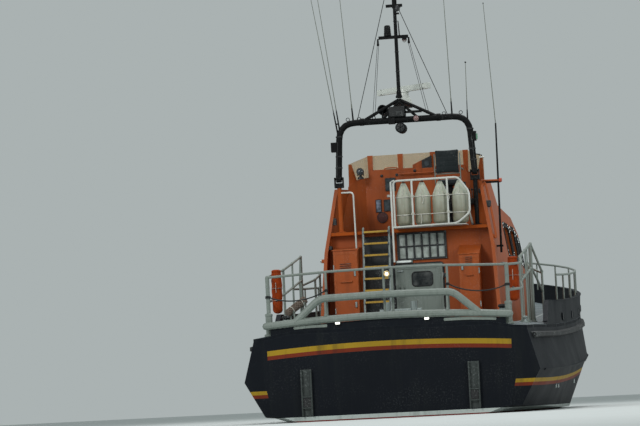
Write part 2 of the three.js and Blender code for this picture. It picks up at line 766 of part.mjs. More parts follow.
// A body that fills the space between the two side walls over a stretch of heights
function betweenSides(y0, y1, z0, z1) {
  const inside = (y, z) => sideX(y, z) - WALL - GAP * 2;
  return loft([y0, CASING_Y, y1].map((y) => atY(mirrored([[inside(y, z0), z0], [inside(y, z1), z1]]), y)));
}
const floorUnder = COCKPIT_FLOOR_Z - WALL;
piece("cockpit_floor", betweenSides(FLOOR_LIP_Y, COCKPIT_Y - GAP, floorUnder, COCKPIT_FLOOR_Z), "deck");

// The coaming closes the cockpit's forward end and carries the windscreen.
const COAMING = { wingX: 1420, wingY: -3540, midX: 960, midY: -3060, halfTop: 1245 };
// The coaming's upper edge steps down outboard of the middle. Columns: x, z
const COAMING_EDGE = [
  [0, COAMING_Z],
  [850, COAMING_Z],
  [900, 4365],
  [1108, 4308],
  [1250, 4195],
  [COAMING.wingX, 4060],
];
function coamingTop(x) {
  const after = COAMING_EDGE.findIndex(([at]) => at >= Math.abs(x));
  const [[x0, z0], [x1, z1]] = [COAMING_EDGE[Math.max(0, after - 1)], COAMING_EDGE[Math.max(1, after)]];
  return THREE.MathUtils.mapLinear(Math.abs(x), x0, x1, z0, z1);
}
const coamingOutline = [
  [-COAMING.wingX, COAMING.wingY],
  [-COAMING.midX, COAMING.midY],
  [COAMING.midX, COAMING.midY],
  [COAMING.wingX, COAMING.wingY],
  [COAMING.wingX, COCKPIT_Y - GAP],
  [-COAMING.wingX, COCKPIT_Y - GAP],
];
const COAMING_SPAN = [-3600, -2600];
const coamingPlan = prism("z", coamingOutline, COCKPIT_FLOOR_Z + GAP, COAMING_Z);
const coamingLow = coamingPlan.intersect(betweenSides(WING_Y, COCKPIT_Y, COCKPIT_FLOOR_Z - 50, 4040));
const coamingHigh = coamingPlan.intersect(
  box([-COAMING.halfTop, COAMING.halfTop], COAMING_SPAN, [4000, COAMING_Z + 50]),
);
const sideShells = SIDES.map(handOf).flatMap((hand) =>
  [0, GAP].map((lift) => moved(sideShell(hand), -hand * lift, 0, lift)),
);
const coaming = cut(join(coamingLow, coamingHigh), sideShells);
const wingSlope = SIDES.map(handOf).map((hand) =>
  prism(
    "y",
    [...COAMING_EDGE.slice(1), [COAMING.wingX, COAMING_Z + 10], [COAMING_EDGE[1][0], COAMING_Z + 10]].map(
      ([x, z]) => [hand * x, z],
    ),
    ...COAMING_SPAN,
  ),
);
const coamingSolid = cut(coaming, wingSlope);
piece("cockpit_coaming", coamingSolid, "orange");

// Windscreen: posts and end fins on a cap strip, with one bent pane ahead of them
const SCREEN = {
  mid: 4782,
  end: 4618,
  cornerX: 915,
  y: -2975,
  endX: 1240,
  endY: -3310,
};
const SCREEN_POSTS = { xs: [-870, -314, 283, 886], halfTop: 48, halfFoot: 38, foot: 4300 };
const screenXs = [SCREEN.endX, 1108, SCREEN.cornerX, 900, 850];
function screenPath(offset) {
  const beyond = (x) => Math.max(0, Math.abs(x) - SCREEN.cornerX) / (SCREEN.endX - SCREEN.cornerX);
  const xs = [...screenXs.map((x) => -x), ...[...screenXs].reverse()];
  return xs.map((x) => [x, THREE.MathUtils.lerp(SCREEN.y, SCREEN.endY, beyond(x)) + offset]);
}
const screenFoot = (x) => coamingTop(x) + GAP;
function screenStrip(offset, thick, foot, head) {
  const xs = screenPath(offset);
  const ring = ([x, y]) => [
    [x, y, screenFoot(x) + foot],
    [x, y + thick, screenFoot(x) + foot],
    [x, y + thick, head(x)],
    [x, y, head(x)],
  ];
  return loft(xs.map(ring), "x");
}
// The triangular end fins: x, rise above the foot
const FIN = [
  [1108, 20],
  [1182, 600],
  [1224, 600],
  [1238, 40],
];
function screenHead(x) {
  const reach = Math.max(Math.abs(x), SCREEN.cornerX);
  return THREE.MathUtils.mapLinear(reach, SCREEN.cornerX, SCREEN.endX, SCREEN.mid, SCREEN.end);
}
function windscreenFrame() {
  const strip = screenStrip(0, 70, 0, (x) => screenFoot(x) + 24);
  const posts = SCREEN_POSTS.xs.map((x) =>
    prism(
      "y",
      [
        [x - SCREEN_POSTS.halfFoot, SCREEN_POSTS.foot],
        [x + SCREEN_POSTS.halfFoot, SCREEN_POSTS.foot],
        [x + SCREEN_POSTS.halfTop, SCREEN.mid],
        [x - SCREEN_POSTS.halfTop, SCREEN.mid],
      ],
      SCREEN.y - 18,
      SCREEN.y + 20,
    ),
  );
  const fins = [-1, 1].map((hand) =>
    loft(
      FIN.map(([x, rise]) => {
        const y = THREE.MathUtils.mapLinear(x, SCREEN.cornerX, SCREEN.endX, SCREEN.y, SCREEN.endY) + 8;
        const [foot, head] = [screenFoot(x) + 4, Math.min(screenFoot(x) + rise, SCREEN.end)];
        return [
          [hand * x, y, foot],
          [hand * x, y + 30, foot],
          [hand * x, y + 30, head],
          [hand * x, y, head],
        ];
      }),
      "x",
    ),
  );
  return cut(join(strip, posts, fins), moved(coamingSolid, 0, 0, GAP));
}
const frameSolid = windscreenFrame();
piece("windscreen_frame", frameSolid, "orange");
piece("windscreen_glass", screenStrip(52, 10, 24.5, screenHead), "glass");

// Window glass behind the openings
function sideGlass(hand) {
  const low = 2800;
  const rings = placesBetween(-1930, 2230).map((y) => {
    const skin = (z) => sideX(y, z) - WALL;
    const high = Math.min(3500, houseAt(y).topZ - WALL - 10);
    return [
      [skin(low) + 8, low],
      [skin(high) + 8, high],
      [skin(high) - 10, high],
      [skin(low) - 10, low],
    ].map(([x, z]) => [hand * x, y, z]);
  });
  return cut(loft(rings), moved(sideShell(hand), -hand * GAP, 0, 0));
}
for (const side of SIDES) piece("side_glass_" + side, sideGlass(handOf(side)), "tinted_glass");

function frontGlass() {
  const [y0, y1] = [2360, 3250];
  const rings = [y0, y1].map((y) => {
    const z = houseAt(y).topZ - WALL - GAP * 2;
    return atY([[-1100, z], [1100, z], [1100, z - 14], [-1100, z - 14]], y);
  });
  return loft(rings);
}
piece("front_glass", frontGlass(), "tinted_glass");

// Door, vent, lockers and ladder on the aft face

const DOOR_FACE = { lap: 45, thick: 40 };
const leaf = box(
  [DOOR.x0 - DOOR_FACE.lap, DOOR.x1 + DOOR_FACE.lap],
  [CASING_Y - GAP - DOOR_FACE.thick, CASING_Y - GAP],
  [DOOR.z0 - DOOR_FACE.lap, DOOR.z1 + DOOR_FACE.lap],
);
const doorHandle = box([-195, -155], [CASING_Y - 110, CASING_Y - 20], [2120, 2280]);
piece("aft_door", join(leaf, doorHandle), "grey_paint");

function ventGrille() {
  const frame = box(
    [VENT.x0 - 25, VENT.x1 + 25],
    [CASING_Y - 36, CASING_Y - GAP],
    [VENT.z0 - 18, VENT.z1 + 18],
  );
  const panes = [];
  const columns = 6;
  const pitch = (VENT.x1 - VENT.x0) / columns;
  for (let c = 0; c < columns; c++) {
    for (const z of [VENT.z0 + 12, (VENT.z0 + VENT.z1) / 2 + 12]) {
      const x = VENT.x0 + c * pitch + 14;
      panes.push(box([x, x + pitch - 28], [CASING_Y - 60, CASING_Y + 20], [z, z + 200]));
    }
  }
  return cut(frame, panes);
}
piece("vent_grille", ventGrille(), "grey_paint");

// Lockers: columns are the side, x0, x1, height at the wall, height at the front
const LOCKERS = {
  port: { x0: -1345, x1: -905, back: 3010, front: 2965, depth: 360 },
  starboard: { x0: 876, x1: 1236, back: 2945, front: 2780, depth: 360 },
};
for (const side of SIDES) {
  const { x0, x1, back, front, depth } = LOCKERS[side];
  const wallY = CASING_Y - GAP;
  const outline = [
    [wallY, HOUSE_FOOT_Z],
    [wallY, back],
    [wallY - depth, front],
    [wallY - depth, HOUSE_FOOT_Z],
  ];
  const inside = box([x0 + 30, x1 - 30], [wallY - depth - 50, wallY - 30], [1680, front - 60]);
  piece("locker_" + side, cut(prism("x", outline, x0, x1), inside, deckCutter), "orange");
  const lid = box([x0 + 8, x1 - 8], [wallY - depth - 28, wallY - depth - GAP], [1650, front - 30]);
  const slot = box([x0 + 120, x1 - 120], [wallY - depth - 60, wallY - depth - 20], [2400, 2425]);
  piece("locker_lid_" + side, join(lid, slot), "orange");
}

const LADDER = { x0: -812, x1: -350, topY: -4690, footY: -4990, topZ: 3300, pitch: 208, treads: 8 };
function ladder() {
  const lean = (z) =>
    THREE.MathUtils.mapLinear(z, HOUSE_FOOT_Z, LADDER.topZ, LADDER.footY, LADDER.topY);
  const stringers = [LADDER.x0, LADDER.x1].map((x) =>
    rod([x, lean(1500), 1500], [x, lean(LADDER.topZ), LADDER.topZ - 10], 22),
  );
  const treads = Array.from({ length: LADDER.treads }, (_, i) => {
    const z = LADDER.topZ - 30 - i * LADDER.pitch;
    return box([LADDER.x0, LADDER.x1], [lean(z) - 70, lean(z) + 30], [z - 14, z + 14]);
  });
  const wallSide = box([-2000, 2000], [FLOOR_LIP_Y - GAP, 0], [floorUnder - 1, 4000]);
  return cut(join(stringers, treads), deckCutter, wallSide);
}
piece("ladder", ladder(), "tread");

// Fender rack over the aft edge of the cockpit, with its four fenders

const RACK = { y: -4980, radius: 18, x0: -195, x1: 1130, top: 4130, foot: 3310 };
function fenderRack() {
  const loop = rounded(
    [
      [RACK.x0, RACK.y, RACK.foot],
      [RACK.x0, RACK.y, RACK.top - 5],
      [945, RACK.y, RACK.top],
      [RACK.x1, RACK.y, 3870],
      [RACK.x1, RACK.y, 3500],
      [900, RACK.y, 3325],
      [RACK.x0, RACK.y, RACK.foot],
    ],
    70,
    3,
  );
  const uprights = [128, 752].map((x) =>
    rod([x, RACK.y, RACK.foot + 5], [x, RACK.y, RACK.top], RACK.radius),
  );
  const seatZ = COCKPIT_FLOOR_Z + RACK.radius;
  const arms = [RACK.x0, 448, RACK.x1 - 10].map((x) =>
    rod([x, RACK.y, x > 1000 ? 3510 : RACK.foot], [x, FLOOR_LIP_Y + 130, seatZ], RACK.radius),
  );
  const shelf = box([RACK.x0, 1060], [RACK.y, FLOOR_LIP_Y + 10], [RACK.foot - 8, RACK.foot + 4]);
  const grab = tube(
    [
      [RACK.x0 - 45, RACK.y - 5, 2700],
      [RACK.x0 - 45, RACK.y - 5, RACK.top - 20],
      [RACK.x0 + 20, RACK.y - 5, RACK.top + 4],
    ],
    RACK.radius,
  );
  const link = rod([RACK.x0 - 45, RACK.y, RACK.foot], [RACK.x0, RACK.y, RACK.foot], RACK.radius);
  const start = ball([RACK.x0, RACK.y, RACK.foot], RACK.radius + 2);
  const floorSide = box([-3000, 3000], [FLOOR_LIP_Y - GAP, -2000], [3000, COCKPIT_FLOOR_Z + GAP]);
  return cut(join(tube(loop, RACK.radius), uprights, arms, shelf, grab, link, start), floorSide);
}
piece("fender_rack", fenderRack(), "grey_paint");

const FENDERS = { xs: [-38, 290, 606, 952], y: -4815, radius: 138, z0: 3315, z1: 4085 };
function fenders() {
  const profile = [
    [0, FENDERS.z0],
    [80, FENDERS.z0 + 20],
    [FENDERS.radius, FENDERS.z0 + 100],
    [FENDERS.radius, 3850],
    [48, 4045],
    [28, FENDERS.z1],
    [0, FENDERS.z1],
  ].map(([r, z]) => new THREE.Vector2(r, z));
  const bodies = FENDERS.xs.map((x) =>
    solidOf(weld(new THREE.LatheGeometry(profile, 10)).rotateX(Math.PI / 2).translate(x, FENDERS.y, 0)),
  );
  const straps = [3524, 3830].map((z) =>
    box([FENDERS.xs[0], FENDERS.xs[3]], [FENDERS.y - 12, FENDERS.y + 12], [z - 20, z + 20]),
  );
  return join(bodies, straps);
}
piece("fenders", fenders(), "fender");

// Seats

const HELM_POST = 205; // from the seat's middle to each back post
function helmSeat(x, y, floor) {
  const base = rod([x, y, floor], [x, y, floor + 780], 70, 12);
  const foot = box([x - 200, x + 200], [y - 180, y + 180], [floor, floor + 20]);
  const cushion = box([x - 220, x + 220], [y - 200, y + 230], [floor + 770, floor + 890]);
  const posts = [x - HELM_POST, x + HELM_POST].map((px) =>
    rod([px, y - 215, floor + 800], [px, y - 235, floor + 1340], 16),
  );
  const frame = rod([x - HELM_POST, y - 220, floor + 900], [x + HELM_POST, y - 220, floor + 900], 14);
  const back = box([x - 222, x + 222], [y - 290, y - 210], [floor + 985, floor + 1410]);
  return join(base, foot, cushion, posts, frame, back);
}
piece("helm_seat", helmSeat(668, -3800, COCKPIT_FLOOR_Z + GAP), "seat");

const CREW_SEATS = [
  // x, y
  [-700, 1200],
  [700, 1200],
  [-700, -200],
  [700, -200],
];
function crewSeats() {
  const floor = 1890;
  const seats = CREW_SEATS.map(([x, y]) => [
    box([x - 230, x + 230], [y - 230, y + 230], [floor, floor + 560]),
    box([x - 230, x + 230], [y - 290, y - 210], [floor + 100, floor + 1150]),
  ]);
  const plinth = box([-950, 950], [-600, 1600], [1500, floor + 20]);
  return cut(join(seats.flat(), plinth), deckCutter);
}
piece("crew_seats", crewSeats(), "seat");

// Foredeck hatch, bitts and tow bollard

const lidHalf = HATCH.half + 20;
const hatchLid = box(
  [-lidHalf, lidHalf],
  [HATCH.y - lidHalf, HATCH.y + lidHalf],
  [hatchZ + GAP, hatchZ + 34],
);
const hatchHandle = box([-70, 70], [HATCH.y - 260, HATCH.y - 230], [hatchZ + 30, hatchZ + 70]);
piece("foredeck_hatch", join(hatchLid, hatchHandle), "grey_paint");

// A pair of posts with a cross bar. Name, place along the boat, half spacing, height, post radius
const BOLLARDS = [
  ["bow_bitts", 6700, 170, 330, 55],
  ["tow_bollard", -6250, 230, 430, 62],
];
for (const [name, y, half, height, radius] of BOLLARDS) {
  const deck = deckZ(y);
  const plate = box([-half - 130, half + 130], [y - 140, y + 140], [deck - 60, deck + 30]);
  const posts = [-half, half].map((x) => rod([x, y, deck], [x, y, deck + height], radius, 12));
  const barZ = deck + height * 0.62;
  const bar = rod([-half - 130, y, barZ], [half + 130, y, barZ], radius * 0.7, 10);
  piece(name, cut(join(plate, posts, bar), deckCutter), "galvanised");
}

// Folding arch: legs, beam, struts, radar platform and searchlight

const ARCH = { radius: 57, shoulderX: 1155, beamZ: 5235, bend: 290, apexZ: 5600, strutHalf: 685 };
// The mast stands a little to port of the middle.
const MAST_X = -63;
const RADAR = { x: -70, y: -3870, z: 5800 };
function mastArch() {
  const y = PIVOT.y;
  const main = rounded(
    [
      [-ARCH_FOOT_X, y, PIVOT.z],
      [-ARCH.shoulderX, y, ARCH.beamZ],
      [ARCH.shoulderX, y, ARCH.beamZ],
      [ARCH_FOOT_X, y, PIVOT.z],
    ],
    ARCH.bend,
    5,
  );
  const struts = [-1, 1].map((hand) =>
    rod([MAST_X + hand * ARCH.strutHalf, y, ARCH.beamZ + 10], [MAST_X, y, ARCH.apexZ], 30),
  );
  const knees = [-1, 1].map((hand) =>
    rod([MAST_X + hand * ARCH.strutHalf * 0.5, y, ARCH.beamZ], [MAST_X, y, ARCH.apexZ - 40], 24),
  );
  const eyes = [-1, 1].map((hand) =>
    rod([hand * ARCH_FOOT_X - 45, y, PIVOT.z], [hand * ARCH_FOOT_X + 45, y, PIVOT.z], 60, 12),
  );
  const pins = [-1, 1].map((hand) =>
    rod([hand * ARCH_FOOT_X - 80, y, PIVOT.z], [hand * ARCH_FOOT_X + 80, y, PIVOT.z], PIVOT.pin, 12),
  );
  const platform = box([RADAR.x - 130, RADAR.x + 130], [y, RADAR.y + 130], [5530, 5560]);
  const brace = rod([MAST_X, y, ARCH.beamZ], [MAST_X, RADAR.y - 60, 5540], 28);
  const pedestal = rod([RADAR.x, RADAR.y, 5550], [RADAR.x, RADAR.y, RADAR.z], 105, 12, 85);
  const lamp = rod([-45, y - 150, 5085], [-45, y + 90, 5085], 92, 12);
  const lampArm = rod([-45, y, 5085], [-45, y, ARCH.beamZ], 22);
  const stern = rod([235, y - 95, 5235], [235, y, 5235], 60, 10);
  const horn = rod([-376, y + 40, 5440], [-376, y + 240, 5440], 92, 10);
  const hornArm = rod([-376, y + 60, 5420], [-376, y, ARCH.beamZ], 18);
  const boxes = [
    box([-1320, -1170], [y - 60, y + 60], [4735, 4895]),
    box([1170, 1268], [y - 60, y + 60], [4785, 4940]),
    box([-270, -155], [y - 70, y + 50], [5170, 5400]),
    box([-160, 40], [y - 60, y + 50], [5280, 5480]),
    box([-20, 330], [y - 45, y - 10], [5345, 5385]),
  ];
  return join(
    tube(main, ARCH.radius, 10),
    struts,
    knees,
    eyes,
    pins,
    [platform, brace, pedestal, lamp, lampArm, stern, horn, hornArm],
    boxes,
  );
}
const arch = mastArch();
piece("mast_arch", arch, "black_paint");

// Short legs on the cockpit's floor hold the arch's hinge pins.
const legFoot = COCKPIT_FLOOR_Z + GAP;
const lowLeg = (x) => rod([x, PIVOT.y, legFoot], [x, PIVOT.y, PIVOT.z - 75], 40, 10);
for (const side of SIDES) {
  const x = handOf(side) * ARCH_FOOT_X;
  const sole = box([x - 75, x + 75], [PIVOT.y - 60, PIVOT.y + 75], [legFoot, legFoot + 14]);
  const cheeks = [-72, 72].map((dx) =>
    prism(
      "x",
      [
        [PIVOT.y - 50, PIVOT.z - 156],
        [PIVOT.y + 50, PIVOT.z - 156],
        [PIVOT.y + 50, PIVOT.z + 30],
        [PIVOT.y - 50, PIVOT.z + 30],
      ],
      x + dx - 8,
      x + dx + 8,
    ),
  );
  const holes = rod([x - 90, PIVOT.y, PIVOT.z], [x + 90, PIVOT.y, PIVOT.z], PIVOT.pin + 1, 12);
  const seat = box([x - 80, x + 80], [PIVOT.y - 50, PIVOT.y + 50], [PIVOT.z - 156, PIVOT.z - 75]);
  piece("arch_foot_" + side, join(lowLeg(x), sole, cut(join(cheeks), holes), seat), "black_paint");
}

// Mast pole with crosstrees, lamps and taut stays
const STAYS = [
  // foot x, head z
  [-834, 8040],
  [792, 7390],
];
function mastPole() {
  const y = PIVOT.y;
  const foot = ARCH.apexZ + 27;
  const pole = rod([MAST_X, y, foot], [MAST_X, y, MASTHEAD_Z], 34, 10, 29);
  const sleeve = rod([MAST_X, y, 7230], [MAST_X, y, 7760], 43, 10);
  const lower = box([-373, 153], [y - 30, y + 30], [6690, 6742]);
  const upper = box([-216, 75], [y - 25, y + 25], [7252, 7300]);
  const dome = rod([-211, y, 6740], [-211, y, 6912], 66, 10, 54);
  const lamp = rod([85, y, 6645], [85, y, 6695], 43, 8);
  const block = prism(
    "y",
    [
      [MAST_X, 7170],
      [-10, 7170],
      [52, 7255],
      [52, 7290],
      [MAST_X, 7290],
    ],
    y - 75,
    y + 20,
  );
  const plate = box([MAST_X, 15], [y - 50, y + 20], [7120, 7145]);
  const head = rod([MAST_X, y, MASTHEAD_Z - 10], [MAST_X, y, MASTHEAD_Z + 90], 45, 8);
  const stays = STAYS.map(([footX, headZ]) => rod([footX, y, ARCH.beamZ + 20], [MAST_X, y, headZ], 6, 6));
  const fitted = join(pole, sleeve, lower, upper, dome, lamp, block, plate, head, stays);
  return cut(fitted, arch, moved(arch, 0, 0, GAP));
}
piece("mast_pole", mastPole(), "black_paint");

const RADAR_BAR = { half: 612, height: 100, depth: 90, turn: -35 };
function radarScanner() {
  const bar = new THREE.BoxGeometry(RADAR_BAR.half * 2, RADAR_BAR.depth, RADAR_BAR.height);
  const turned = solidOf(weld(bar).rotateZ(THREE.MathUtils.degToRad(RADAR_BAR.turn)));
  const hub = rod([0, 0, -55], [0, 0, 0], 60, 10);
  return moved(join(turned, hub), RADAR.x, RADAR.y, RADAR.z + 60);
}
piece("radar_scanner", radarScanner(), "radar_white");

// Whip aerials. Columns: name, foot x, foot z, height of the thick base, tip x, tip z
const AERIALS = [
  ["aerial_port_outer", -1190, 5040, 400, -1650, 8100],
  ["aerial_port_inner", -903, 5250, 320, -1070, 8000],
  ["aerial_starboard", 864, 5240, 320, 808, 7900],
  ["aerial_short", 1132, 5080, 260, 1147, 6190],
];
function whip(x, z, base, tipX, tipZ) {
  const y = PIVOT.y;
  const lean = (tipX - x) / (tipZ - z);
  const thick = rod([x, y, z], [x + lean * base, y, z + base], 18, 6, 12);
  return join(thick, rod([x + lean * (base - 20), y, z + base - 20], [tipX, y, tipZ], 8, 6, 5));
}
const tieBar = box([-1228, -1163], [PIVOT.y - 12, PIVOT.y + 12], [5222, 5246]);
const pairWith = { aerial_port_outer: [whip(-1150, 5060, 400, -1505, 8050), tieBar] };
for (const [name, ...places] of AERIALS) {
  const standing = join(whip(...places), pairWith[name] ?? []);
  piece(name, cut(standing, arch, moved(arch, 0, 0, GAP)), "black_paint");
}

// The tall aerial stands on brackets outside the starboard cockpit wall.
const TALL = { y: CASING_Y + 100, footX: 1588, footZ: 2800, midX: 1605, midZ: 5090, tipX: 1497, tipZ: 7237 };
const tallAt = (z) => THREE.MathUtils.mapLinear(z, TALL.footZ, TALL.midZ, TALL.footX, TALL.midX);
const tallBrackets = [2900, 4035].map((z) =>
  box([sideX(TALL.y, z) - 10, tallAt(z) + 40], [TALL.y - 16, TALL.y + 16], [z, z + 32]),
);
const tallAerial = join(
  rod([TALL.footX, TALL.y, TALL.footZ], [TALL.midX, TALL.y, TALL.midZ], 21, 8, 14),
  rod([TALL.midX, TALL.y, TALL.midZ - 20], [TALL.tipX, TALL.y, TALL.tipZ], 8, 6, 5),
  tallBrackets,
);
const besideWall = [0, GAP].map((shift) => moved(sideShell(1), shift, 0, 0));
piece("aerial_tall", cut(tallAerial, besideWall), "black_paint");

// A handrail bends from the port wing down to the port locker.
const wingRail = rounded(
  [
    [-ARCH_FOOT_X, PIVOT.y, 4005],
    [-955, FLOOR_LIP_Y - 30, 3995],
    [-945, FLOOR_LIP_Y - 30, LOCKERS.port.back - 19],
  ],
  70,
);
const besideLeg = [0, GAP].map((shift) => moved(lowLeg(-ARCH_FOOT_X), shift, 0, 0));
piece("wing_handrail", cut(tube(wingRail, 15), besideLeg), "grey_paint");

// Guard ropes sag between the hump and the quarter posts. Points chosen by hand, port side, columns x, z
const ROPE = { y: AFT_RAIL.y, radius: 11 };
const ROPE_POINTS = [
  [-1020, 2146],
  [-1120, 2098],
  [-1220, 2060],
  [-1330, 2032],
  [-1440, 2014],
  [-1550, 2006],
  [-1660, 2009],
  [-1770, 2024],
  [-1860, 2045],
  [-1965, 2082],
];
for (const side of SIDES) {
  const route = ROPE_POINTS.map(([x, z]) => [-handOf(side) * x, ROPE.y, z]);
  const posts = [0, -GAP, GAP].map((shift) => moved(aftRailSolid, shift, 0, 0));
  piece("guard_rope_" + side, cut(tube(route, ROPE.radius, 8), posts), "rope");
}

export default boat;
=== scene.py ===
"""An all-weather rescue lifeboat afloat, dressed for a studio picture taken low from astern."""

from itertools import product
from math import copysign, cos, exp, hypot, pi, radians, sin

import bmesh
import bpy
from mathutils import Matrix, Quaternion, Vector, noise


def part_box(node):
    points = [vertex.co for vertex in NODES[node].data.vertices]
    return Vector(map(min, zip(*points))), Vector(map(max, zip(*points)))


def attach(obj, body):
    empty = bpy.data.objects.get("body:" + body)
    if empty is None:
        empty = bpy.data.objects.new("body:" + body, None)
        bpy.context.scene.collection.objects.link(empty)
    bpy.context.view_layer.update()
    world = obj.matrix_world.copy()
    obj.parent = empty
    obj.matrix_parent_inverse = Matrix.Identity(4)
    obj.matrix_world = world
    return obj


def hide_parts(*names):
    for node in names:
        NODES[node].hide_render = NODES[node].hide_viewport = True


bl_info = {
    "name": "Rescue lifeboat",
    "version": (1, 0, 0),
    "blender": (4, 5, 0),
    "location": "3D View > Sidebar > Lifeboat",
    "description": "Finishes and fittings of an all-weather rescue lifeboat",
    "category": "Object",
}

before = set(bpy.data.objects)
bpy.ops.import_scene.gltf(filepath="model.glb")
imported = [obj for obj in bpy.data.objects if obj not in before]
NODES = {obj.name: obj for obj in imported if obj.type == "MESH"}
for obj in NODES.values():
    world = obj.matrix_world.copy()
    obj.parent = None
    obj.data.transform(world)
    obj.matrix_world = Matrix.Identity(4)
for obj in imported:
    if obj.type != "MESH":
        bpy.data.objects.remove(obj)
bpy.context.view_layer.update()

# Lines of the boat, in metres: +X starboard, +Y forward, +Z up, the waterline at zero

HANDS = {"port": -1, "starboard": 1}
STARBOARD, AHEAD, AFT, UP = (1, 0, 0), (0, 1, 0), (0, -1, 0), (0, 0, 1)
HULL_LINES = [
    # y, chine x, chine z, knuckle x, knuckle z, deck edge x, deck edge z
    (-8.0, 1.96, 0.115, 2.09, 0.70, 2.07, 1.42),
    (-7.85, 2.13, 0.11, 2.455, 0.69, 2.272, 1.408),
    (-7.0, 2.26, 0.095, 2.56, 0.70, 2.335, 1.435),
    (-5.6, 2.315, 0.075, 2.61, 0.72, 2.40, 1.46),
    (-4.0, 2.35, 0.05, 2.64, 0.75, 2.45, 1.50),
    (-2.0, 2.345, 0.03, 2.655, 0.815, 2.49, 1.575),
    (0.0, 2.30, 0.035, 2.65, 0.90, 2.50, 1.67),
    (2.0, 2.13, 0.11, 2.56, 1.01, 2.47, 1.79),
    (3.5, 1.83, 0.25, 2.38, 1.14, 2.36, 1.90),
    (5.0, 1.33, 0.52, 2.01, 1.34, 2.09, 2.03),
    (6.2, 0.83, 0.83, 1.50, 1.56, 1.70, 2.15),
    (7.2, 0.40, 1.18, 0.93, 1.79, 1.19, 2.265),
    (7.9, 0.16, 1.53, 0.44, 2.01, 0.65, 2.35),
    (8.35, 0.03, 1.86, 0.06, 2.17, 0.09, 2.42),
]
HOUSE_LINES = [
    # y, half breadth at the foot, half breadth and height of the roof's edge, reach of the side's knuckle
    (-5.15, 1.61, 1.328, 4.06, 0.065),
    (-4.5, 1.60, 1.318, 4.08, 0.065),
    (-2.7, 1.68, 1.29, 4.19, 0.04),
    (-2.0, 1.69, 1.33, 3.80, 0.004),
    (0.0, 1.69, 1.37, 3.69, 0.004),
    (2.3, 1.60, 1.29, 3.48, 0.004),
    (3.3, 1.45, 1.19, 2.78, 0.004),
    (4.5, 1.10, 0.99, 2.33, 0.004),
]
HOUSE_FOOT_Z = 1.5
HOUSE_KNUCKLE = 0.56  # share of the side's height where its knuckle lies
DECK_CAMBER = 0.08
DECK_FLAT = 0.78
TRANSOM_Y = -8.0
CASING_Y = -4.5
ARCH_Y = -4.6
RAIL_Y = -7.86
CORNER_X = 1.99  # posts at the stern's corners
HUMP_X = 1.01  # posts where the guard's hump ends
GUARD_Y = -8.01
FLOOR_Z = 3.3


def along(table, y):
    """The row of a table of lines at any place along the boat."""
    upper = next((i for i, row in enumerate(table) if row[0] >= y and i), len(table) - 1)
    a, b = table[upper - 1], table[upper]
    share = (y - a[0]) / (b[0] - a[0])
    return [p + share * (q - p) for p, q in zip(a, b)]


def hull_knuckle(y):
    """Half breadth and height of the topsides' knuckle."""
    return along(HULL_LINES, y)[3:5]


def deck_edge(y):
    """Half breadth and height of the deck's edge."""
    return along(HULL_LINES, y)[5:7]


def deck_z(x, y):
    """Height of the cambered deck."""
    edge_x, edge_z = deck_edge(y)
    fall = min(1, max(0, (abs(x) / edge_x - DECK_FLAT) / (1 - DECK_FLAT)))
    return edge_z + DECK_CAMBER * (1 - fall)


def side_x(y, z):
    """Half breadth of the superstructure's outer face, which stands out at its knuckle."""
    _, foot, top, top_z, reach = along(HOUSE_LINES, y)
    share = (z - HOUSE_FOOT_Z) / (top_z - HOUSE_FOOT_Z)
    near = share / HOUSE_KNUCKLE if share < HOUSE_KNUCKLE else (1 - share) / (1 - HOUSE_KNUCKLE)
    return foot + share * (top - foot) + reach * near


def roof_edge(y):
    """Half breadth and height of the roof's edge."""
    return along(HOUSE_LINES, y)[2:4]


def wing_edge_y(z):
    """Where the raked aft edge of a side wing has a height."""
    return -5.12 + (z - 1.4) * 0.61 / 2.6


def hull_x(y, z):
    """Half breadth of the topsides and the bottom's upper strake."""
    _, chine_x, chine_z, knuckle_x, knuckle_z, edge_x, edge_z = along(HULL_LINES, y)
    if z > knuckle_z:
        return knuckle_x + (z - knuckle_z) / (edge_z - knuckle_z) * (edge_x - knuckle_x)
    return chine_x + (z - chine_z) / (knuckle_z - chine_z) * (knuckle_x - chine_x)


def front_y(z):
    """Where the raked front of the superstructure has a height."""
    return 2.3 + (3.48 - z) / 0.7


def tone(code):
    """A paint's hex code as linear red, green and blue."""
    parts = [(code >> shift & 255) / 255 for shift in (16, 8, 0)]
    return tuple(p / 12.92 if p <= 0.04045 else ((p + 0.055) / 1.055) ** 2.4 for p in parts)


# Settings that a user may change


def colour(name, description, code):
    return bpy.props.FloatVectorProperty(
        name=name, description=description, subtype="COLOR", min=0, max=1, default=tone(code)
    )


class LifeboatColours(bpy.types.PropertyGroup):
    """Paints and cloths of the boat."""

    navy: colour("Hull", "Topside paint", 0x10141A)
    orange: colour("Superstructure", "Paint of the casing and lockers", 0x9E4A18)
    grey: colour("Rails", "Paint of the guard, rails and door", 0x757E77)
    black: colour("Mast", "Paint of the arch, mast and aerials", 0x070809)
    deck: colour("Deck", "Non-slip deck paint", 0x4C565A)
    antifouling: colour("Bottom", "Antifouling paint", 0x6B2117)
    boot_top: colour("Boot-top", "Line above the antifouling", 0xAEB6B2)
    stripe_yellow: colour("Stripe, upper", "Yellow band", 0x9A7C22)
    stripe_red: colour("Stripe, lower", "Red band", 0x6E2C1A)
    fender: colour("Fenders", "Inflated vinyl", 0xBDC2B2)
    bag: colour("Rescue bags", "Coated cloth", 0x923606)
    seat: colour("Seats", "Seat covers", 0x1E2628)
    rope: colour("Ropes", "Black braided rope", 0x17191A)


class LifeboatSizes(bpy.types.PropertyGroup):
    """Sizes of the fittings."""

    rope_diameter: bpy.props.FloatProperty(
        name="Guard rope", description="Diameter of the guard ropes", default=0.022, unit="LENGTH"
    )
    halyard_diameter: bpy.props.FloatProperty(
        name="Halyards", description="Diameter of the signal halyards", default=0.009, unit="LENGTH"
    )
    pad_crown: bpy.props.FloatProperty(
        name="Pad crown", description="Most that a seat pad swells", default=0.022, unit="LENGTH"
    )


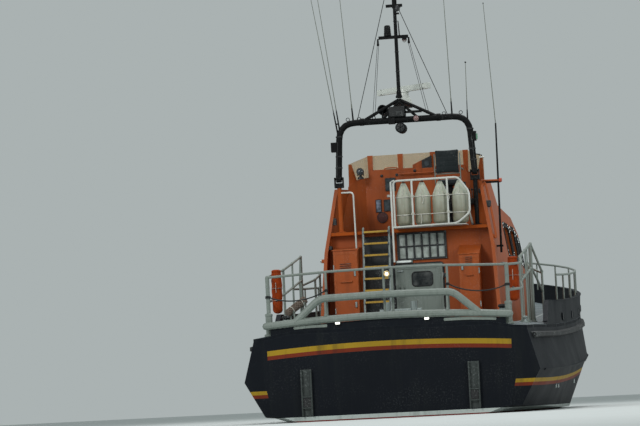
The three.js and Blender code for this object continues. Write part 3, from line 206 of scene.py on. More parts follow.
class LifeboatStage(bpy.types.PropertyGroup):
    """Camera, floor and light."""

    camera_place: bpy.props.FloatVectorProperty(
        name="Camera", description="Where the camera stands", subtype="TRANSLATION",
        default=(6.263, -52.562, 0.2),
    )
    yaw: bpy.props.FloatProperty(
        name="Yaw", description="Heading of the camera from dead ahead", subtype="ANGLE",
        default=radians(-9.289),
    )
    pitch: bpy.props.FloatProperty(
        name="Pitch", description="Upward tilt", subtype="ANGLE", default=radians(4.086)
    )
    roll: bpy.props.FloatProperty(
        name="Roll", description="Lean of the camera", subtype="ANGLE", default=radians(2.8)
    )
    lens: bpy.props.FloatProperty(
        name="Lens", description="Focal length in millimetres", default=154.34
    )
    floor: colour("Floor", "Plain pale floor", 0xC9CECD)
    backdrop: colour("Backdrop", "Plain backdrop and soft light", 0xAEB6B6)


# Shader nodes


class Wiring:
    """A short way to place and join the nodes of one tree."""

    def __init__(self, tree):
        self.tree = tree

    def feed(self, socket, value):
        if isinstance(value, bpy.types.NodeSocket):
            self.tree.links.new(value, socket)
        else:
            socket.default_value = value

    def add(self, kind, inputs=None, **settings):
        node = self.tree.nodes.new("ShaderNode" + kind)
        for key, value in settings.items():
            setattr(node, key, value)
        for key, value in (inputs or {}).items():
            self.feed(node.inputs[key], value)
        return node

    def sum(self, operation, *values, clamp=False):
        node = self.add("Math", dict(enumerate(values)), operation=operation, use_clamp=clamp)
        return node.outputs[0]

    def step(self, value, low, high, to_low=0.0, to_high=1.0):
        keys = ("Value", "From Min", "From Max", "To Min", "To Max")
        return self.add("MapRange", dict(zip(keys, (value, low, high, to_low, to_high)))).outputs[0]

    def blend(self, share, first, second):
        inputs = {0: share, 6: first, 7: second}
        return self.add("Mix", inputs, data_type="RGBA").outputs[2]

    def grain(self, place, scale, detail=3.0, rough=0.55):
        inputs = {"Vector": place, "Scale": scale, "Detail": detail, "Roughness": rough}
        return self.add("TexNoise", inputs).outputs[0]

    def place(self):
        return self.add("TexCoord").outputs["Object"]

    def stretched(self, place, factors):
        return self.add("VectorMath", {0: place, 1: factors}, operation="MULTIPLY").outputs[0]

    def parts(self, place):
        return self.add("SeparateXYZ", {0: place}).outputs[:3]


def opaque(rgb):
    return (*tuple(rgb)[:3], 1.0)


def chosen(colour_or_key):
    """A colour of the settings by its name, or a fixed one by its code."""
    if isinstance(colour_or_key, str):
        return opaque(getattr(bpy.context.scene.lifeboat_colours, colour_or_key))
    return opaque(tone(colour_or_key))


def new_group(name, inputs, outputs):
    """An empty node group with named sockets: the tree, its wiring, the inputs and the output node."""
    tree = bpy.data.node_groups.new(name, "ShaderNodeTree")
    for label, kind, value in inputs:
        socket = tree.interface.new_socket(name=label, in_out="INPUT", socket_type="NodeSocket" + kind)
        socket.default_value = value
    for label, kind in outputs:
        tree.interface.new_socket(name=label, in_out="OUTPUT", socket_type="NodeSocket" + kind)
    source = tree.nodes.new("NodeGroupInput")
    given = {label: source.outputs[label] for label, _, _ in inputs}
    return tree, Wiring(tree), given, tree.nodes.new("NodeGroupOutput")


def weathering(name):
    """Faded patches, runs of dirt and dried salt over a paint."""
    tree, w, given, out = new_group(
        name,
        [
            ("Colour", "Color", opaque((0.5, 0.5, 0.5))),
            ("Stain", "Color", opaque((0.1, 0.1, 0.1))),
            ("Roughness", "Float", 0.5),
            ("Mottle", "Float", 0.3),
            ("Streaks", "Float", 0.3),
            ("Salt", "Float", 0.3),
            ("Scale", "Float", 1.0),
        ],
        [("Colour", "Color"), ("Roughness", "Float"), ("Height", "Float")],
    )
    place = w.place()
    patches = w.grain(place, given["Scale"], 5.0, 0.6)
    swing = w.sum("SUBTRACT", patches, 0.5)
    shade = w.sum("MULTIPLY_ADD", swing, given["Mottle"], 1.0)
    base = w.add("HueSaturation", {"Color": given["Colour"], "Value": shade}).outputs[0]
    runs = w.step(w.grain(w.stretched(place, (7.0, 7.0, 0.55)), given["Scale"], 4.0), 0.5, 0.72)
    dirt = w.sum("MULTIPLY", runs, given["Streaks"])
    stained = w.blend(dirt, base, given["Stain"])
    specks = w.step(w.grain(place, 38.0, 2.0), 0.54, 0.68)
    zones = w.step(w.grain(place, 1.9, 2.0), 0.42, 0.66)
    salt = w.sum("MULTIPLY", w.sum("MULTIPLY", specks, zones), given["Salt"])
    w.feed(out.inputs["Colour"], w.blend(salt, stained, opaque((0.5, 0.53, 0.52))))
    rough = w.sum("MULTIPLY_ADD", swing, 0.35, given["Roughness"])
    w.feed(out.inputs["Roughness"], w.sum("MULTIPLY_ADD", salt, 0.25, rough, clamp=True))
    fine = w.grain(place, 170.0, 2.0)
    w.feed(out.inputs["Height"], w.sum("ADD", w.sum("MULTIPLY", fine, 0.35), w.sum("MULTIPLY", salt, 0.5)))
    return tree


def worn_edges(name):
    """Paint rubbed through along the edges."""
    tree, w, given, out = new_group(
        name,
        [
            ("Colour", "Color", opaque((0.5, 0.5, 0.5))),
            ("Worn Colour", "Color", opaque((0.3, 0.3, 0.3))),
            ("Width", "Float", 0.01),
            ("Amount", "Float", 0.5),
        ],
        [("Colour", "Color")],
    )
    soft = w.add("Bevel", {"Radius": given["Width"]}, samples=4).outputs[0]
    true = w.add("NewGeometry").outputs["Normal"]
    same = w.add("VectorMath", {0: soft, 1: true}, operation="DOT_PRODUCT").outputs["Value"]
    edge = w.step(same, 0.99, 0.86)
    broken = w.step(w.grain(w.place(), 23.0, 4.0), 0.42, 0.62)
    mask = w.sum("MULTIPLY", w.sum("MULTIPLY", edge, broken), given["Amount"], clamp=True)
    w.feed(out.inputs["Colour"], w.blend(mask, given["Colour"], given["Worn Colour"]))
    return tree


def weave(name):
    """Crossed threads of a coated cloth, with painted shade for its creases."""
    tree, w, given, out = new_group(
        name, [("Threads", "Float", 900.0)], [("Height", "Float"), ("Shade", "Float")]
    )
    x, y, z = w.parts(w.place())
    warp = w.sum("SINE", w.sum("MULTIPLY", w.sum("ADD", x, y), given["Threads"]))
    weft = w.sum("SINE", w.sum("MULTIPLY", z, given["Threads"]))
    height = w.sum("MULTIPLY_ADD", w.sum("MULTIPLY", warp, weft), 0.5, 0.5)
    w.feed(out.inputs["Height"], height)
    # Darker noise patches are painted shade standing for the cloth's creases.
    fold_shade = w.grain(w.place(), 9.0, 4.0)
    w.feed(out.inputs["Shade"], w.sum("MULTIPLY_ADD", height, 0.12, w.step(fold_shade, 0.25, 0.75, 0.72, 1.02)))
    return tree


def seams(name):
    """Thin lines at an even pitch along one direction."""
    tree, w, given, out = new_group(
        name,
        [("Along", "Float", 0.0), ("Pitch", "Float", 1.0), ("Width", "Float", 0.01)],
        [("Mask", "Float")],
    )
    turn = w.sum("DIVIDE", given["Along"], given["Pitch"])
    off = w.sum("ABSOLUTE", w.sum("SUBTRACT", w.sum("FRACT", turn), 0.5))
    reach = w.sum("DIVIDE", given["Width"], given["Pitch"])
    w.feed(out.inputs["Mask"], w.sum("SUBTRACT", 1.0, w.sum("DIVIDE", off, reach), clamp=True))
    return tree


def blank(name):
    """A new material's wiring and its surface shader."""
    material = bpy.data.materials.new(name)
    material.use_nodes = True
    material.node_tree.nodes.clear()
    w = Wiring(material.node_tree)
    shader = w.add("BsdfPrincipled")
    output = w.add("OutputMaterial")
    material.node_tree.links.new(shader.outputs[0], output.inputs[0])
    return material, w, shader


NODE_GROUPS = {"Sea weathering": weathering, "Worn edges": worn_edges, "Weave": weave, "Seams": seams}


def use(w, name, inputs):
    """The outputs of a shared node group, which is built when it is first asked for."""
    node = w.tree.nodes.new("ShaderNodeGroup")
    node.node_tree = bpy.data.node_groups.get(name) or NODE_GROUPS[name](name)
    for key, value in inputs.items():
        w.feed(node.inputs[key], value)
    return node.outputs


def rubbed(w, colour, worn, width, amount):
    """A colour with its edges rubbed."""
    inputs = {"Colour": colour, "Worn Colour": chosen(worn), "Width": width, "Amount": amount}
    return use(w, "Worn edges", inputs)[0]


def weathered(w, colour, stain, rough, mottle, streaks, salt, scale):
    """A colour after years at sea, with its roughness and height."""
    return use(w, "Sea weathering", {
        "Colour": colour, "Stain": chosen(stain), "Roughness": rough, "Mottle": mottle,
        "Streaks": streaks, "Salt": salt, "Scale": scale,
    })


def surface(w, shader, colour, roughness, others=None):
    """Feeds a shader's colour and roughness, and any other inputs by their names."""
    for key, value in {"Base Color": colour, "Roughness": roughness, **(others or {})}.items():
        w.feed(shader.inputs[key], value)


def bump(w, shader, height, strength, distance):
    inputs = {"Height": height, "Strength": strength, "Distance": distance}
    w.feed(shader.inputs["Normal"], w.add("Bump", inputs).outputs[0])


PAINT_COLUMNS = (
    "colour stain rough metal coat shine mottle streaks salt worn width wear scale bump".split()
)
PAINTS = {
    # the columns' names stand above
    "orange topcoat": (
        "orange", 0x5A2C13, 0.55, 0, 0.0, 0.3, 0.5, 0.34, 0.08, 0xC48A62, 0.012, 0.55, 1.3, 0.3
    ),
    "grey rail paint": (
        "grey", 0x4E544E, 0.5, 0, 0.0, 0.4, 0.45, 0.35, 0.2, 0x5C4A3C, 0.008, 0.5, 3.0, 0.4
    ),
    "black mast paint": (
        "black", 0x1B1E1E, 0.65, 0, 0.0, 0.15, 0.5, 0.2, 0.08, 0x3A3E3D, 0.008, 0.5, 3.0, 0.35
    ),
    "navy topcoat": ("navy", 0x1D2122, 0.6, 0, 0.0, 0.1, 0.5, 0.35, 0.04, 0x303740, 0.012, 0.5, 1.2, 0.25),
    "antifouling": (
        "antifouling", 0x2B1A14, 0.72, 0, 0, 0.5, 0.7, 0.3, 0.1, 0x8C4A38, 0.015, 0.6, 2.0, 0.6
    ),
    "belting rubber": (0x1B1D1F, 0x3B3E3C, 0.78, 0, 0, 0.5, 0.5, 0.3, 0.6, 0x3A3C3B, 0.012, 0.7, 4.0, 0.7),
    "dark rubber": (0x121415, 0x2B2E2D, 0.7, 0, 0, 0.5, 0.4, 0.2, 0.4, 0x333635, 0.004, 0.5, 8.0, 0.5),
    "dark plastic": (0x16191B, 0x2C2F30, 0.5, 0, 0, 0.5, 0.3, 0.2, 0.3, 0x3C4041, 0.004, 0.4, 9.0, 0.3),
    "bronze": (0x9C7436, 0x35503F, 0.38, 1, 0, 0.5, 0.6, 0.3, 0.1, 0xCFA35B, 0.01, 0.7, 5.0, 0.5),
    "galvanised steel": (
        0x8C9693, 0x5A5F5A, 0.5, 0.75, 0, 0.5, 0.7, 0.4, 0.4, 0xB5BDBA, 0.008, 0.5, 6.0, 0.5
    ),
    "tread alloy": (0x7C8583, 0x33383A, 0.45, 0.6, 0, 0.5, 0.5, 0.4, 0.3, 0xA9B0AE, 0.006, 0.6, 6.0, 0.5),
    "channel steel": (0x3A403E, 0x23282A, 0.6, 0.2, 0, 0.3, 0.6, 0.4, 0.15, 0x6A706C, 0.008, 0.5, 5.0, 0.5),
    "radar plastic": (
        0xC9CDC6, 0x9A9D92, 0.4, 0, 0.2, 0.5, 0.15, 0.15, 0.05, 0xE4E6E2, 0.006, 0.2, 2.0, 0.2
    ),
    "white enamel": (0xC9CBC4, 0x6E6F66, 0.35, 0, 0.3, 0.5, 0.3, 0.35, 0.2, 0x83776A, 0.006, 0.5, 5.0, 0.2),
    "yellow edging": (0xB08A2A, 0x4A3A1C, 0.6, 0, 0, 0.5, 0.4, 0.4, 0.2, 0x55534C, 0.004, 0.7, 6.0, 0.6),
    "burnt orange": (0xA83A1A, 0x34150C, 0.5, 0, 0.1, 0.5, 0.5, 0.5, 0.3, 0xCF8C66, 0.006, 0.5, 4.0, 0.4),
    "net cord": (0x6E6055, 0x2F2823, 0.9, 0, 0, 0.5, 0.7, 0.3, 0.3, 0x7C5A48, 0.004, 0.3, 11.0, 0.9),
    "stainless": (0xB4BAB8, 0x6B706D, 0.26, 1, 0, 0.5, 0.25, 0.2, 0.2, 0xD7DBDA, 0.003, 0.3, 9.0, 0.2),
    "zinc": (0x9DA3A3, 0x6A6E6B, 0.6, 0.8, 0, 0.5, 0.8, 0.2, 0.1, 0xBCC1C1, 0.005, 0.5, 12.0, 0.8),
    "maroon shadow": (0x4A1A12, 0x200C08, 0.6, 0, 0, 0.5, 0.5, 0.5, 0.2, 0x6E3626, 0.006, 0.3, 3.0, 0.3),
}
PARTED_PAINTS = {
    # the paint it follows, the other colour, the height that parts them, which side of it the other takes
    "port foot paint": ("black mast paint", "orange", 4.09, "LESS_THAN"),
    "aerial paint": ("black mast paint", 0x6F736A, 5.5, "GREATER_THAN"),
    "tall aerial paint": ("black mast paint", 0x6F736A, 5.09, "GREATER_THAN"),
}


def painted(name):
    """A weathered paint, metal or plastic from the table."""
    source, *parting = PARTED_PAINTS.get(name, (name,))
    row = dict(zip(PAINT_COLUMNS, PAINTS[source]))
    material, w, shader = blank(name)
    base = chosen(row["colour"])
    if parting:
        other, height, side = parting
        base = w.blend(w.sum(side, w.parts(w.place())[2], height), base, chosen(other))
    worn = rubbed(w, base, row["worn"], row["width"], row["wear"])
    aged = weathered(w, worn, *(row[key] for key in "stain rough mottle streaks salt scale".split()))
    surface(w, shader, aged["Colour"], aged["Roughness"], {
        "Metallic": row["metal"], "Coat Weight": row["coat"], "Coat Roughness": 0.12,
        "Specular IOR Level": row["shine"],
    })
    bump(w, shader, aged["Height"], row["bump"], 0.002)
    return material


BOOT_TOP = (0.02, 0.085)
SIDE_STRIPE = {"height": 0.54, "rise": 0.0034, "yellow": 0.062, "red": 0.118}
TRANSOM_STRIPE = {"height": 1.27, "fall": 0.019, "yellow": 0.085, "red": 0.15, "half": 2.02}


def hull_paint(name):
    """Navy topsides over a pale boot-top and antifouling, with a yellow and a red band all round."""
    material, w, shader = blank(name)
    x, y, z = w.parts(w.place())
    behind = w.sum("LESS_THAN", y, TRANSOM_Y + 0.006)
    run = w.sum("ADD", y, 8.0)
    side_line = w.sum(
        "MULTIPLY_ADD", w.sum("MULTIPLY", run, run), SIDE_STRIPE["rise"], SIDE_STRIPE["height"]
    )
    stern_line = w.sum(
        "MULTIPLY_ADD", w.sum("MULTIPLY", x, x), -TRANSOM_STRIPE["fall"], TRANSOM_STRIPE["height"]
    )
    drops = []
    for line, sizes in ((side_line, SIDE_STRIPE), (stern_line, TRANSOM_STRIPE)):
        drop = w.sum("SUBTRACT", line, z)
        below = w.sum("GREATER_THAN", drop, 0.0)
        yellow = w.sum("MULTIPLY", below, w.sum("LESS_THAN", drop, sizes["yellow"]))
        red = w.sum(
            "MULTIPLY", w.sum("GREATER_THAN", drop, sizes["yellow"]), w.sum("LESS_THAN", drop, sizes["red"])
        )
        drops.append((yellow, red))
    inside = w.sum("LESS_THAN", w.sum("ABSOLUTE", x), TRANSOM_STRIPE["half"])
    masks = []
    for side, stern in zip(*drops):
        astern = w.sum("MULTIPLY", w.sum("MULTIPLY", stern, inside), behind)
        beside = w.sum("MULTIPLY", side, w.sum("SUBTRACT", 1.0, behind))
        masks.append(w.sum("ADD", astern, beside))
    base = w.blend(masks[0], chosen("navy"), chosen("stripe_yellow"))
    base = w.blend(masks[1], base, chosen("stripe_red"))
    base = w.blend(w.sum("LESS_THAN", z, BOOT_TOP[1]), base, chosen("boot_top"))
    bottom = w.sum("LESS_THAN", z, BOOT_TOP[0])
    base = w.blend(bottom, base, chosen("antifouling"))
    worn = rubbed(w, base, 0x4A525A, 0.02, 0.2)
    aged = weathered(w, worn, 0x1D2121, rough=0.6, mottle=0.5, streaks=0.4, salt=0.04, scale=1.1)
    dull = w.sum("MULTIPLY_ADD", bottom, 0.25, aged["Roughness"], clamp=True)
    surface(w, shader, aged["Colour"], dull, {"Specular IOR Level": 0.1})
    bump(w, shader, aged["Height"], 0.3, 0.003)
    return material


def deck_paint(name):
    """Gritty panels of non-slip paint with smooth margins, navy upright edges and an orange cockpit lip."""
    material, w, shader = blank(name)
    place = w.place()
    x, y, z = w.parts(place)
    margins = [
        use(w, "Seams", {"Along": value, "Pitch": pitch, "Width": 0.035})[0]
        for value, pitch in ((x, 1.15), (y, 1.6))
    ]
    margin = w.step(w.sum("MAXIMUM", *margins), 0.0, 0.25)
    grit = w.grain(place, 240.0, 2.0)
    base = chosen("deck")
    sanded = w.blend(w.step(grit, 0.35, 0.7), base, chosen(0x6B7679))
    panels = w.blend(margin, sanded, chosen(0x7D8887))
    upright = w.sum("LESS_THAN", w.parts(w.add("NewGeometry").outputs["Normal"])[2], 0.5)
    hatch_ring = w.sum(
        "MULTIPLY", w.sum("LESS_THAN", w.sum("ABSOLUTE", x), 0.4), w.sum("GREATER_THAN", y, 0.0)
    )
    edge = w.sum("MULTIPLY", upright, w.sum("SUBTRACT", 1.0, hatch_ring))
    panels = w.blend(edge, panels, chosen("navy"))
    lip = w.sum("MULTIPLY", w.sum("GREATER_THAN", z, FLOOR_Z - 0.1), w.sum("LESS_THAN", z, FLOOR_Z - 0.003))
    panels = w.blend(lip, panels, chosen("orange"))
    salt = w.sum("MULTIPLY_ADD", edge, -0.5, 0.5)
    aged = weathered(w, panels, 0x2D3131, rough=0.7, mottle=0.6, streaks=0.3, salt=salt, scale=2.2)
    rough = w.sum("MULTIPLY_ADD", margin, -0.25, aged["Roughness"])
    shine = w.sum("MULTIPLY_ADD", edge, -0.4, 0.5)
    surface(w, shader, aged["Colour"], rough, {"Specular IOR Level": shine})
    bump(w, shader, w.sum("MULTIPLY", grit, w.sum("SUBTRACT", 1.0, margin)), 0.7, 0.003)
    return material


def soft_vinyl(name):
    """Inflated white vinyl, darker towards the foot with grime and painted shade."""
    material, w, shader = blank(name)
    place = w.place()
    z = w.parts(place)[2]
    clean = chosen("fender")
    # Darker towards the foot: grime together with painted shade.
    fall = w.sum("MULTIPLY_ADD", w.grain(place, 7.0, 4.0), 0.22, w.sum("MULTIPLY", z, -1.0))
    grime_and_shade = w.step(fall, -3.95, -3.45)
    base = w.blend(w.sum("MULTIPLY", grime_and_shade, 0.85), clean, chosen(0x77735F))
    aged = weathered(w, base, 0x6C6655, rough=0.42, mottle=0.3, streaks=0.5, salt=0.1, scale=6.0)
    surface(w, shader, aged["Colour"], aged["Roughness"], {"Subsurface Weight": 0.05})
    bump(w, shader, w.sum("ADD", aged["Height"], w.grain(place, 30.0, 3.0)), 0.25, 0.003)
    return material


def cloth(name):
    """Coated cloth with a weave, painted shade for its creases, and dark wet patches."""
    key, dark, threads, rough, sheen, salt = CLOTHS[name]
    material, w, shader = blank(name)
    woven = use(w, "Weave", {"Threads": threads})
    shaded = w.add("HueSaturation", {"Color": chosen(key), "Value": woven["Shade"]}).outputs[0]
    aged = weathered(w, shaded, dark, rough, mottle=0.4, streaks=0.5, salt=salt, scale=7.0)
    others = {"Sheen Weight": sheen, "Specular IOR Level": 0.15}
    surface(w, shader, aged["Colour"], aged["Roughness"], others)
    bump(w, shader, woven["Height"], 0.35, 0.0012)
    return material


CLOTHS = {
    # colour, stain, threads, roughness, sheen, salt
    "bag cloth": ("bag", 0x4B160C, 1400.0, 0.75, 0.0, 0.03),
    "seat cover": ("seat", 0x0E1012, 1100.0, 0.55, 0.15, 0.2),
}


def webbing(name):
    """Pale woven strap."""
    material, w, shader = blank(name)
    woven = use(w, "Weave", {"Threads": 2200.0})
    # The weave's shade, painted crease shade included, tones the strap between a darker and a paler colour.
    tint = w.step(woven["Shade"], 0.7, 1.1)
    base = w.blend(tint, chosen(0x9A978A), chosen(0xE6E4DA))
    surface(w, shader, base, w.step(w.grain(w.place(), 20.0), 0.0, 1.0, 0.6, 0.9))
    bump(w, shader, woven["Height"], 0.5, 0.001)
    return material


def braided_rope(name):
    """Black braid, with the twist of its strands."""
    material, w, shader = blank(name)
    place = w.place()
    x, y, z = w.parts(place)
    lay = w.sum("SINE", w.sum("MULTIPLY", w.sum("ADD", w.sum("ADD", x, y), z), 260.0))
    base = chosen("rope")
    fibre = w.grain(place, 300.0)
    worn = w.blend(w.step(fibre, 0.4, 0.75), base, chosen(0x3A3D3D))
    surface(w, shader, worn, w.step(fibre, 0.2, 0.8, 0.75, 0.95))
    bump(w, shader, w.sum("MULTIPLY_ADD", lay, 0.5, fibre), 0.8, 0.003)
    return material


def wet_glass(name):
    """Window glass with dried spray on it."""
    tint, rough, transmission = GLASSES[name]
    material, w, shader = blank(name)
    place = w.place()
    spray = w.step(w.grain(place, 6.0, 5.0), 0.38, 0.72)
    drops = w.grain(place, 70.0, 2.0)
    base = chosen(tint)
    salted = w.blend(w.sum("MULTIPLY", spray, 0.16), base, chosen(0xC9CCC8))
    others = {"Transmission Weight": transmission, "IOR": 1.45}
    surface(w, shader, salted, w.sum("MULTIPLY_ADD", spray, 0.2, rough), others)
    bump(w, shader, drops, 0.15, 0.002)
    return material


GLASSES = {
    # tint, roughness, transmission
    "screen glass": (0xE2C9A8, 0.08, 0.9),
    "dark window glass": (0x101719, 0.06, 0.0),
    "clear lens": (0xE6EAE8, 0.05, 0.85),
}


def lit(name):
    """A lamp that is on."""
    glow, strength = LAMPS[name]
    material, w, shader = blank(name)
    cells = w.grain(w.place(), 60.0, 2.0)
    tint = w.blend(w.step(cells, 0.3, 0.7, 0.0, 0.25), chosen(glow), opaque((1.0, 1.0, 1.0)))
    surface(w, shader, tint, 0.25, {"Emission Color": tint, "Emission Strength": strength})
    return material


LAMPS = {
    # colour, strength
    "white lamp": (0xFFFCEF, 2.2),
    "stern lamp": (0xFFF3D6, 2.6),
    "lamp bar": (0xE2E9E4, 0.1),
    "orange lens": (0x5E1E12, 0.0),
    "port red lens": (0xA3161A, 0.1),
    "starboard green lens": (0x127A4A, 0.1),
}


def display(name):
    """A dark screen with a faint, even shimmer."""
    tint = DISPLAYS[name]
    material, w, shader = blank(name)
    z = w.parts(w.place())[2]
    lines = use(w, "Seams", {"Along": z, "Pitch": 0.012, "Width": 0.004})[0]
    patches = w.grain(w.place(), 14.0, 3.0)
    base = w.blend(w.step(patches, 0.3, 0.7), chosen(tint), chosen(0x0D1012))
    lined = w.blend(w.sum("MULTIPLY", lines, 0.3), base, chosen(0x2A3034))
    surface(w, shader, lined, w.step(patches, 0.0, 1.0, 0.08, 0.22))
    return material


DISPLAYS = {
    "blue display": 0x8A93A6,
    "dark display": 0x4A5358,
}


def pale_pane(name):
    """Louvred filter pane, pale with patches of dirt, and painted shade along its slots."""
    material, w, shader = blank(name)
    z = w.parts(w.place())[2]
    slots = use(w, "Seams", {"Along": z, "Pitch": 0.022, "Width": 0.006})[0]
    grime_and_shade = w.grain(w.place(), 9.0, 4.0)
    base = w.blend(w.step(grime_and_shade, 0.35, 0.75), chosen(0xC6CEC8), chosen(0x8B938B))
    # The dark lines along the slots are painted shade between the louvres.
    slot_shaded = w.blend(w.sum("MULTIPLY", slots, 0.5), base, chosen(0x3C4341))
    surface(w, shader, slot_shaded, w.step(grime_and_shade, 0.0, 1.0, 0.5, 0.8))
    bump(w, shader, slots, -0.4, 0.004)
    return material


RECIPES = {
    "navy hull paint": hull_paint,
    "non-slip deck paint": deck_paint,
    "fender vinyl": soft_vinyl,
    "strap webbing": webbing,
    "black braid": braided_rope,
    "pale grille pane": pale_pane,
    **dict.fromkeys(PAINTS, painted),
    **dict.fromkeys(PARTED_PAINTS, painted),
    **dict.fromkeys(CLOTHS, cloth),
    **dict.fromkeys(GLASSES, wet_glass),
    **dict.fromkeys(LAMPS, lit),
    **dict.fromkeys(DISPLAYS, display),
}


def finish(name):
    """A finish by its name, mixed when it is first asked for."""
    return bpy.data.materials.get(name) or RECIPES[name](name)


# Mesh tools


def angles(count):
    """Evenly spaced angles round a circle."""
    return [2 * pi * k / count for k in range(count)]


def smooth(mesh):
    mesh.polygons.foreach_set("use_smooth", [True] * len(mesh.polygons))


def placed(name, data):
    """A new object in the scene."""
    made = bpy.data.objects.new(name, data)
    bpy.context.scene.collection.objects.link(made)
    return made


class Sketch:
    """Gathers closed parts into one mesh; each part says which of the piece's finishes it takes."""

    def __init__(self):
        self.points, self.faces, self.finishes = [], [], []

    def add(self, points, faces, paint=0):
        start = len(self.points)
        self.points += [Vector(p) for p in points]
        self.faces += [tuple(i + start for i in face) for face in faces]
        self.finishes += [paint] * len(faces)

    def block(self, low, high, edge=0.004, paint=0, turn=None):
        """A box with chamfered edges."""
        middle = (Vector(low) + Vector(high)) / 2
        half = [abs(b - a) / 2 for a, b in zip(low, high)]
        cut = min(edge, *(h * 0.45 for h in half))
        corners = {s: 3 * i for i, s in enumerate(product((-1, 1), repeat=3))}
        points = [
            Vector([s[k] * (half[k] - (0 if k == axis else cut)) for k in range(3)])
            for s in corners
            for axis in range(3)
        ]
        faces = [(n, n + 1, n + 2) for n in corners.values()]
        for axis in range(3):
            u, v = [k for k in range(3) if k != axis]

            def corner(along, first, second):
                sign = [0, 0, 0]
                sign[axis], sign[u], sign[v] = along, first, second
                return corners[tuple(sign)]

            loop = ((-1, -1), (1, -1), (1, 1), (-1, 1))
            faces += [tuple(corner(s, a, b) + axis for a, b in loop) for s in (-1, 1)]
            for a, b in loop:
                low_n, high_n = corner(-1, a, b), corner(1, a, b)
                faces.append((low_n + u, high_n + u, high_n + v, low_n + v))
        if turn:
            points = [turn @ p for p in points]
        self.add([p + middle for p in points], faces, paint)

    def skin(self, points, sides, paint=0, closed=False):
        """Rings of points joined in their order, with the first and the last capped unless they meet."""
        count = len(points) // sides
        faces = []
        for i in range(count if closed else count - 1):
            a, b = i * sides, (i + 1) % count * sides
            faces += [(a + k, a + (k + 1) % sides, b + (k + 1) % sides, b + k) for k in range(sides)]
        if not closed:
            faces += [tuple(range(sides)), tuple(range((count - 1) * sides, count * sides))]
        self.add(points, faces, paint)

    def sweep(self, path, radius, paint=0, sides=12, closed=False, section=None, up=None):
        """A section carried along a path: round, or the given (across, rise) outline."""
        path = [Vector(p) for p in path]
        count = len(path)
        radii = radius if isinstance(radius, (list, tuple)) else [radius] * count
        if section is None:
            section = [(cos(t), sin(t)) for t in angles(sides)]
        sides = len(section)
        points, across = [], None
        for i, here in enumerate(path):
            before = path[i - 1] if i or closed else here
            after = path[(i + 1) % count] if i < count - 1 or closed else here
            ahead = (after - before).normalized()
            if up is not None:
                across = ahead.cross(Vector(up))
            elif across is None:
                across = ahead.orthogonal()
            across = (across - ahead * across.dot(ahead)).normalized()
            rise = ahead.cross(across)
            points += [here + radii[i] * (u * across + v * rise) for u, v in section]
        self.skin(points, sides, paint, closed)

    def rod(self, start, end, radius, paint=0, sides=14, tip=None):
        self.sweep([start, end], [radius, radius if tip is None else tip], paint, sides)

    def strap(self, path, width, thick, paint=0, up=UP, closed=False):
        half, deep = width / 2, thick / 2
        outline = [(-half, -deep), (half, -deep), (half, deep), (-half, deep)]
        self.sweep(path, 1.0, paint, section=outline, up=up, closed=closed)

    def hitch(self, x, y, z, radius, axis=UP):
        """Three turns of cord round a post."""
        for lift in (-0.014, 0, 0.014):
            self.ring((x, y, z + lift), axis, radius, 0.007, sides=6)

    def border(self, loop, y, width, thick):
        """A strip round an outline on a face that looks aft."""
        self.strap([(x, y, z) for x, z in loop], width, thick, 0, up=AHEAD, closed=True)

    def ring(self, at, axis, radius, thick, paint=0, around=28, sides=8):
        """A torus."""
        axis = Vector(axis).normalized()
        across = Vector(UP).cross(axis)
        across = across.normalized() if across.length > 1e-6 else Vector(STARBOARD)
        rise = axis.cross(across)
        path = [Vector(at) + radius * (cos(t) * across + sin(t) * rise) for t in angles(around)]
        self.sweep(path, thick, paint, sides, closed=True)

    def turned(self, profile, at, axis=UP, paint=0, sides=24):
        """A body turned round an axis from (radius, distance along it) pairs."""
        turn = Vector(UP).rotation_difference(Vector(axis)).to_matrix()
        points, rings = [], []
        for radius, height in profile:
            size = 1 if radius < 1e-6 else sides
            rings.append((len(points), size))
            for angle in angles(sides)[:size]:
                spot = Vector((radius * cos(angle), radius * sin(angle), height))
                points.append(Vector(at) + turn @ spot)
        faces = []
        for (a, size_a), (b, size_b) in zip(rings, rings[1:]):
            for k in range(sides):
                n = (k + 1) % sides
                face = [a + k % size_a, a + n % size_a, b + n % size_b, b + k % size_b]
                faces.append(tuple(dict.fromkeys(face)))
        for start, size in (rings[0], rings[-1]):
            if size > 1:
                faces.append(tuple(range(start, start + size)))
        self.add(points, faces, paint)

    def ball(self, at, radius, paint=0, sides=16):
        steps = [pi * k / 8 for k in range(9)]
        profile = [(radius * sin(t), -radius * cos(t)) for t in steps]
        profile[0], profile[-1] = (0, -radius), (0, radius)
        self.turned(profile, at, paint=paint, sides=sides)

    def plate(self, outline, axis, near, far, paint=0):
        """An outline in the other two axes, pulled along one axis."""
        order = [k for k in range(3) if k != axis]
        points = []
        for level in (near, far):
            for pair in outline:
                spot = [0, 0, 0]
                spot[axis] = level
                spot[order[0]], spot[order[1]] = pair
                points.append(spot)
        n = len(outline)
        faces = [(k, (k + 1) % n, n + (k + 1) % n, n + k) for k in range(n)]
        self.add(points, [*faces, tuple(range(n)), tuple(range(n, 2 * n))], paint)

    def bolts(self, places, axis, radius=0.008, rise=0.006, paint=0):
        for at in places:
            end = Vector(at) + Vector(axis) * rise
            self.sweep([at, end], [radius, radius * 0.85], paint, 6)


def put(mesh, name, finishes, body):
    """A mesh as a piece that rides on a body."""
    for each in finishes:
        mesh.materials.append(finish(each))
    made = placed(name, mesh)
    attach(made, body)
    return made


def make(sketch, name, finishes, body="root", angle=42, soften=True):
    """The piece that a sketch describes."""
    mesh = bpy.data.meshes.new(name)
    mesh.from_pydata(sketch.points, [], sketch.faces)
    shell = bmesh.new()
    shell.from_mesh(mesh)
    bmesh.ops.recalc_face_normals(shell, faces=shell.faces)
    shell.to_mesh(mesh)
    shell.free()
    mesh.polygons.foreach_set("material_index", sketch.finishes)
    smooth(mesh)
    mesh.set_sharp_from_angle(angle=radians(angle))
    made = put(mesh, name, finishes, body)
    if soften:
        made.modifiers.new("Even normals", "WEIGHTED_NORMAL").keep_sharp = True
    return made


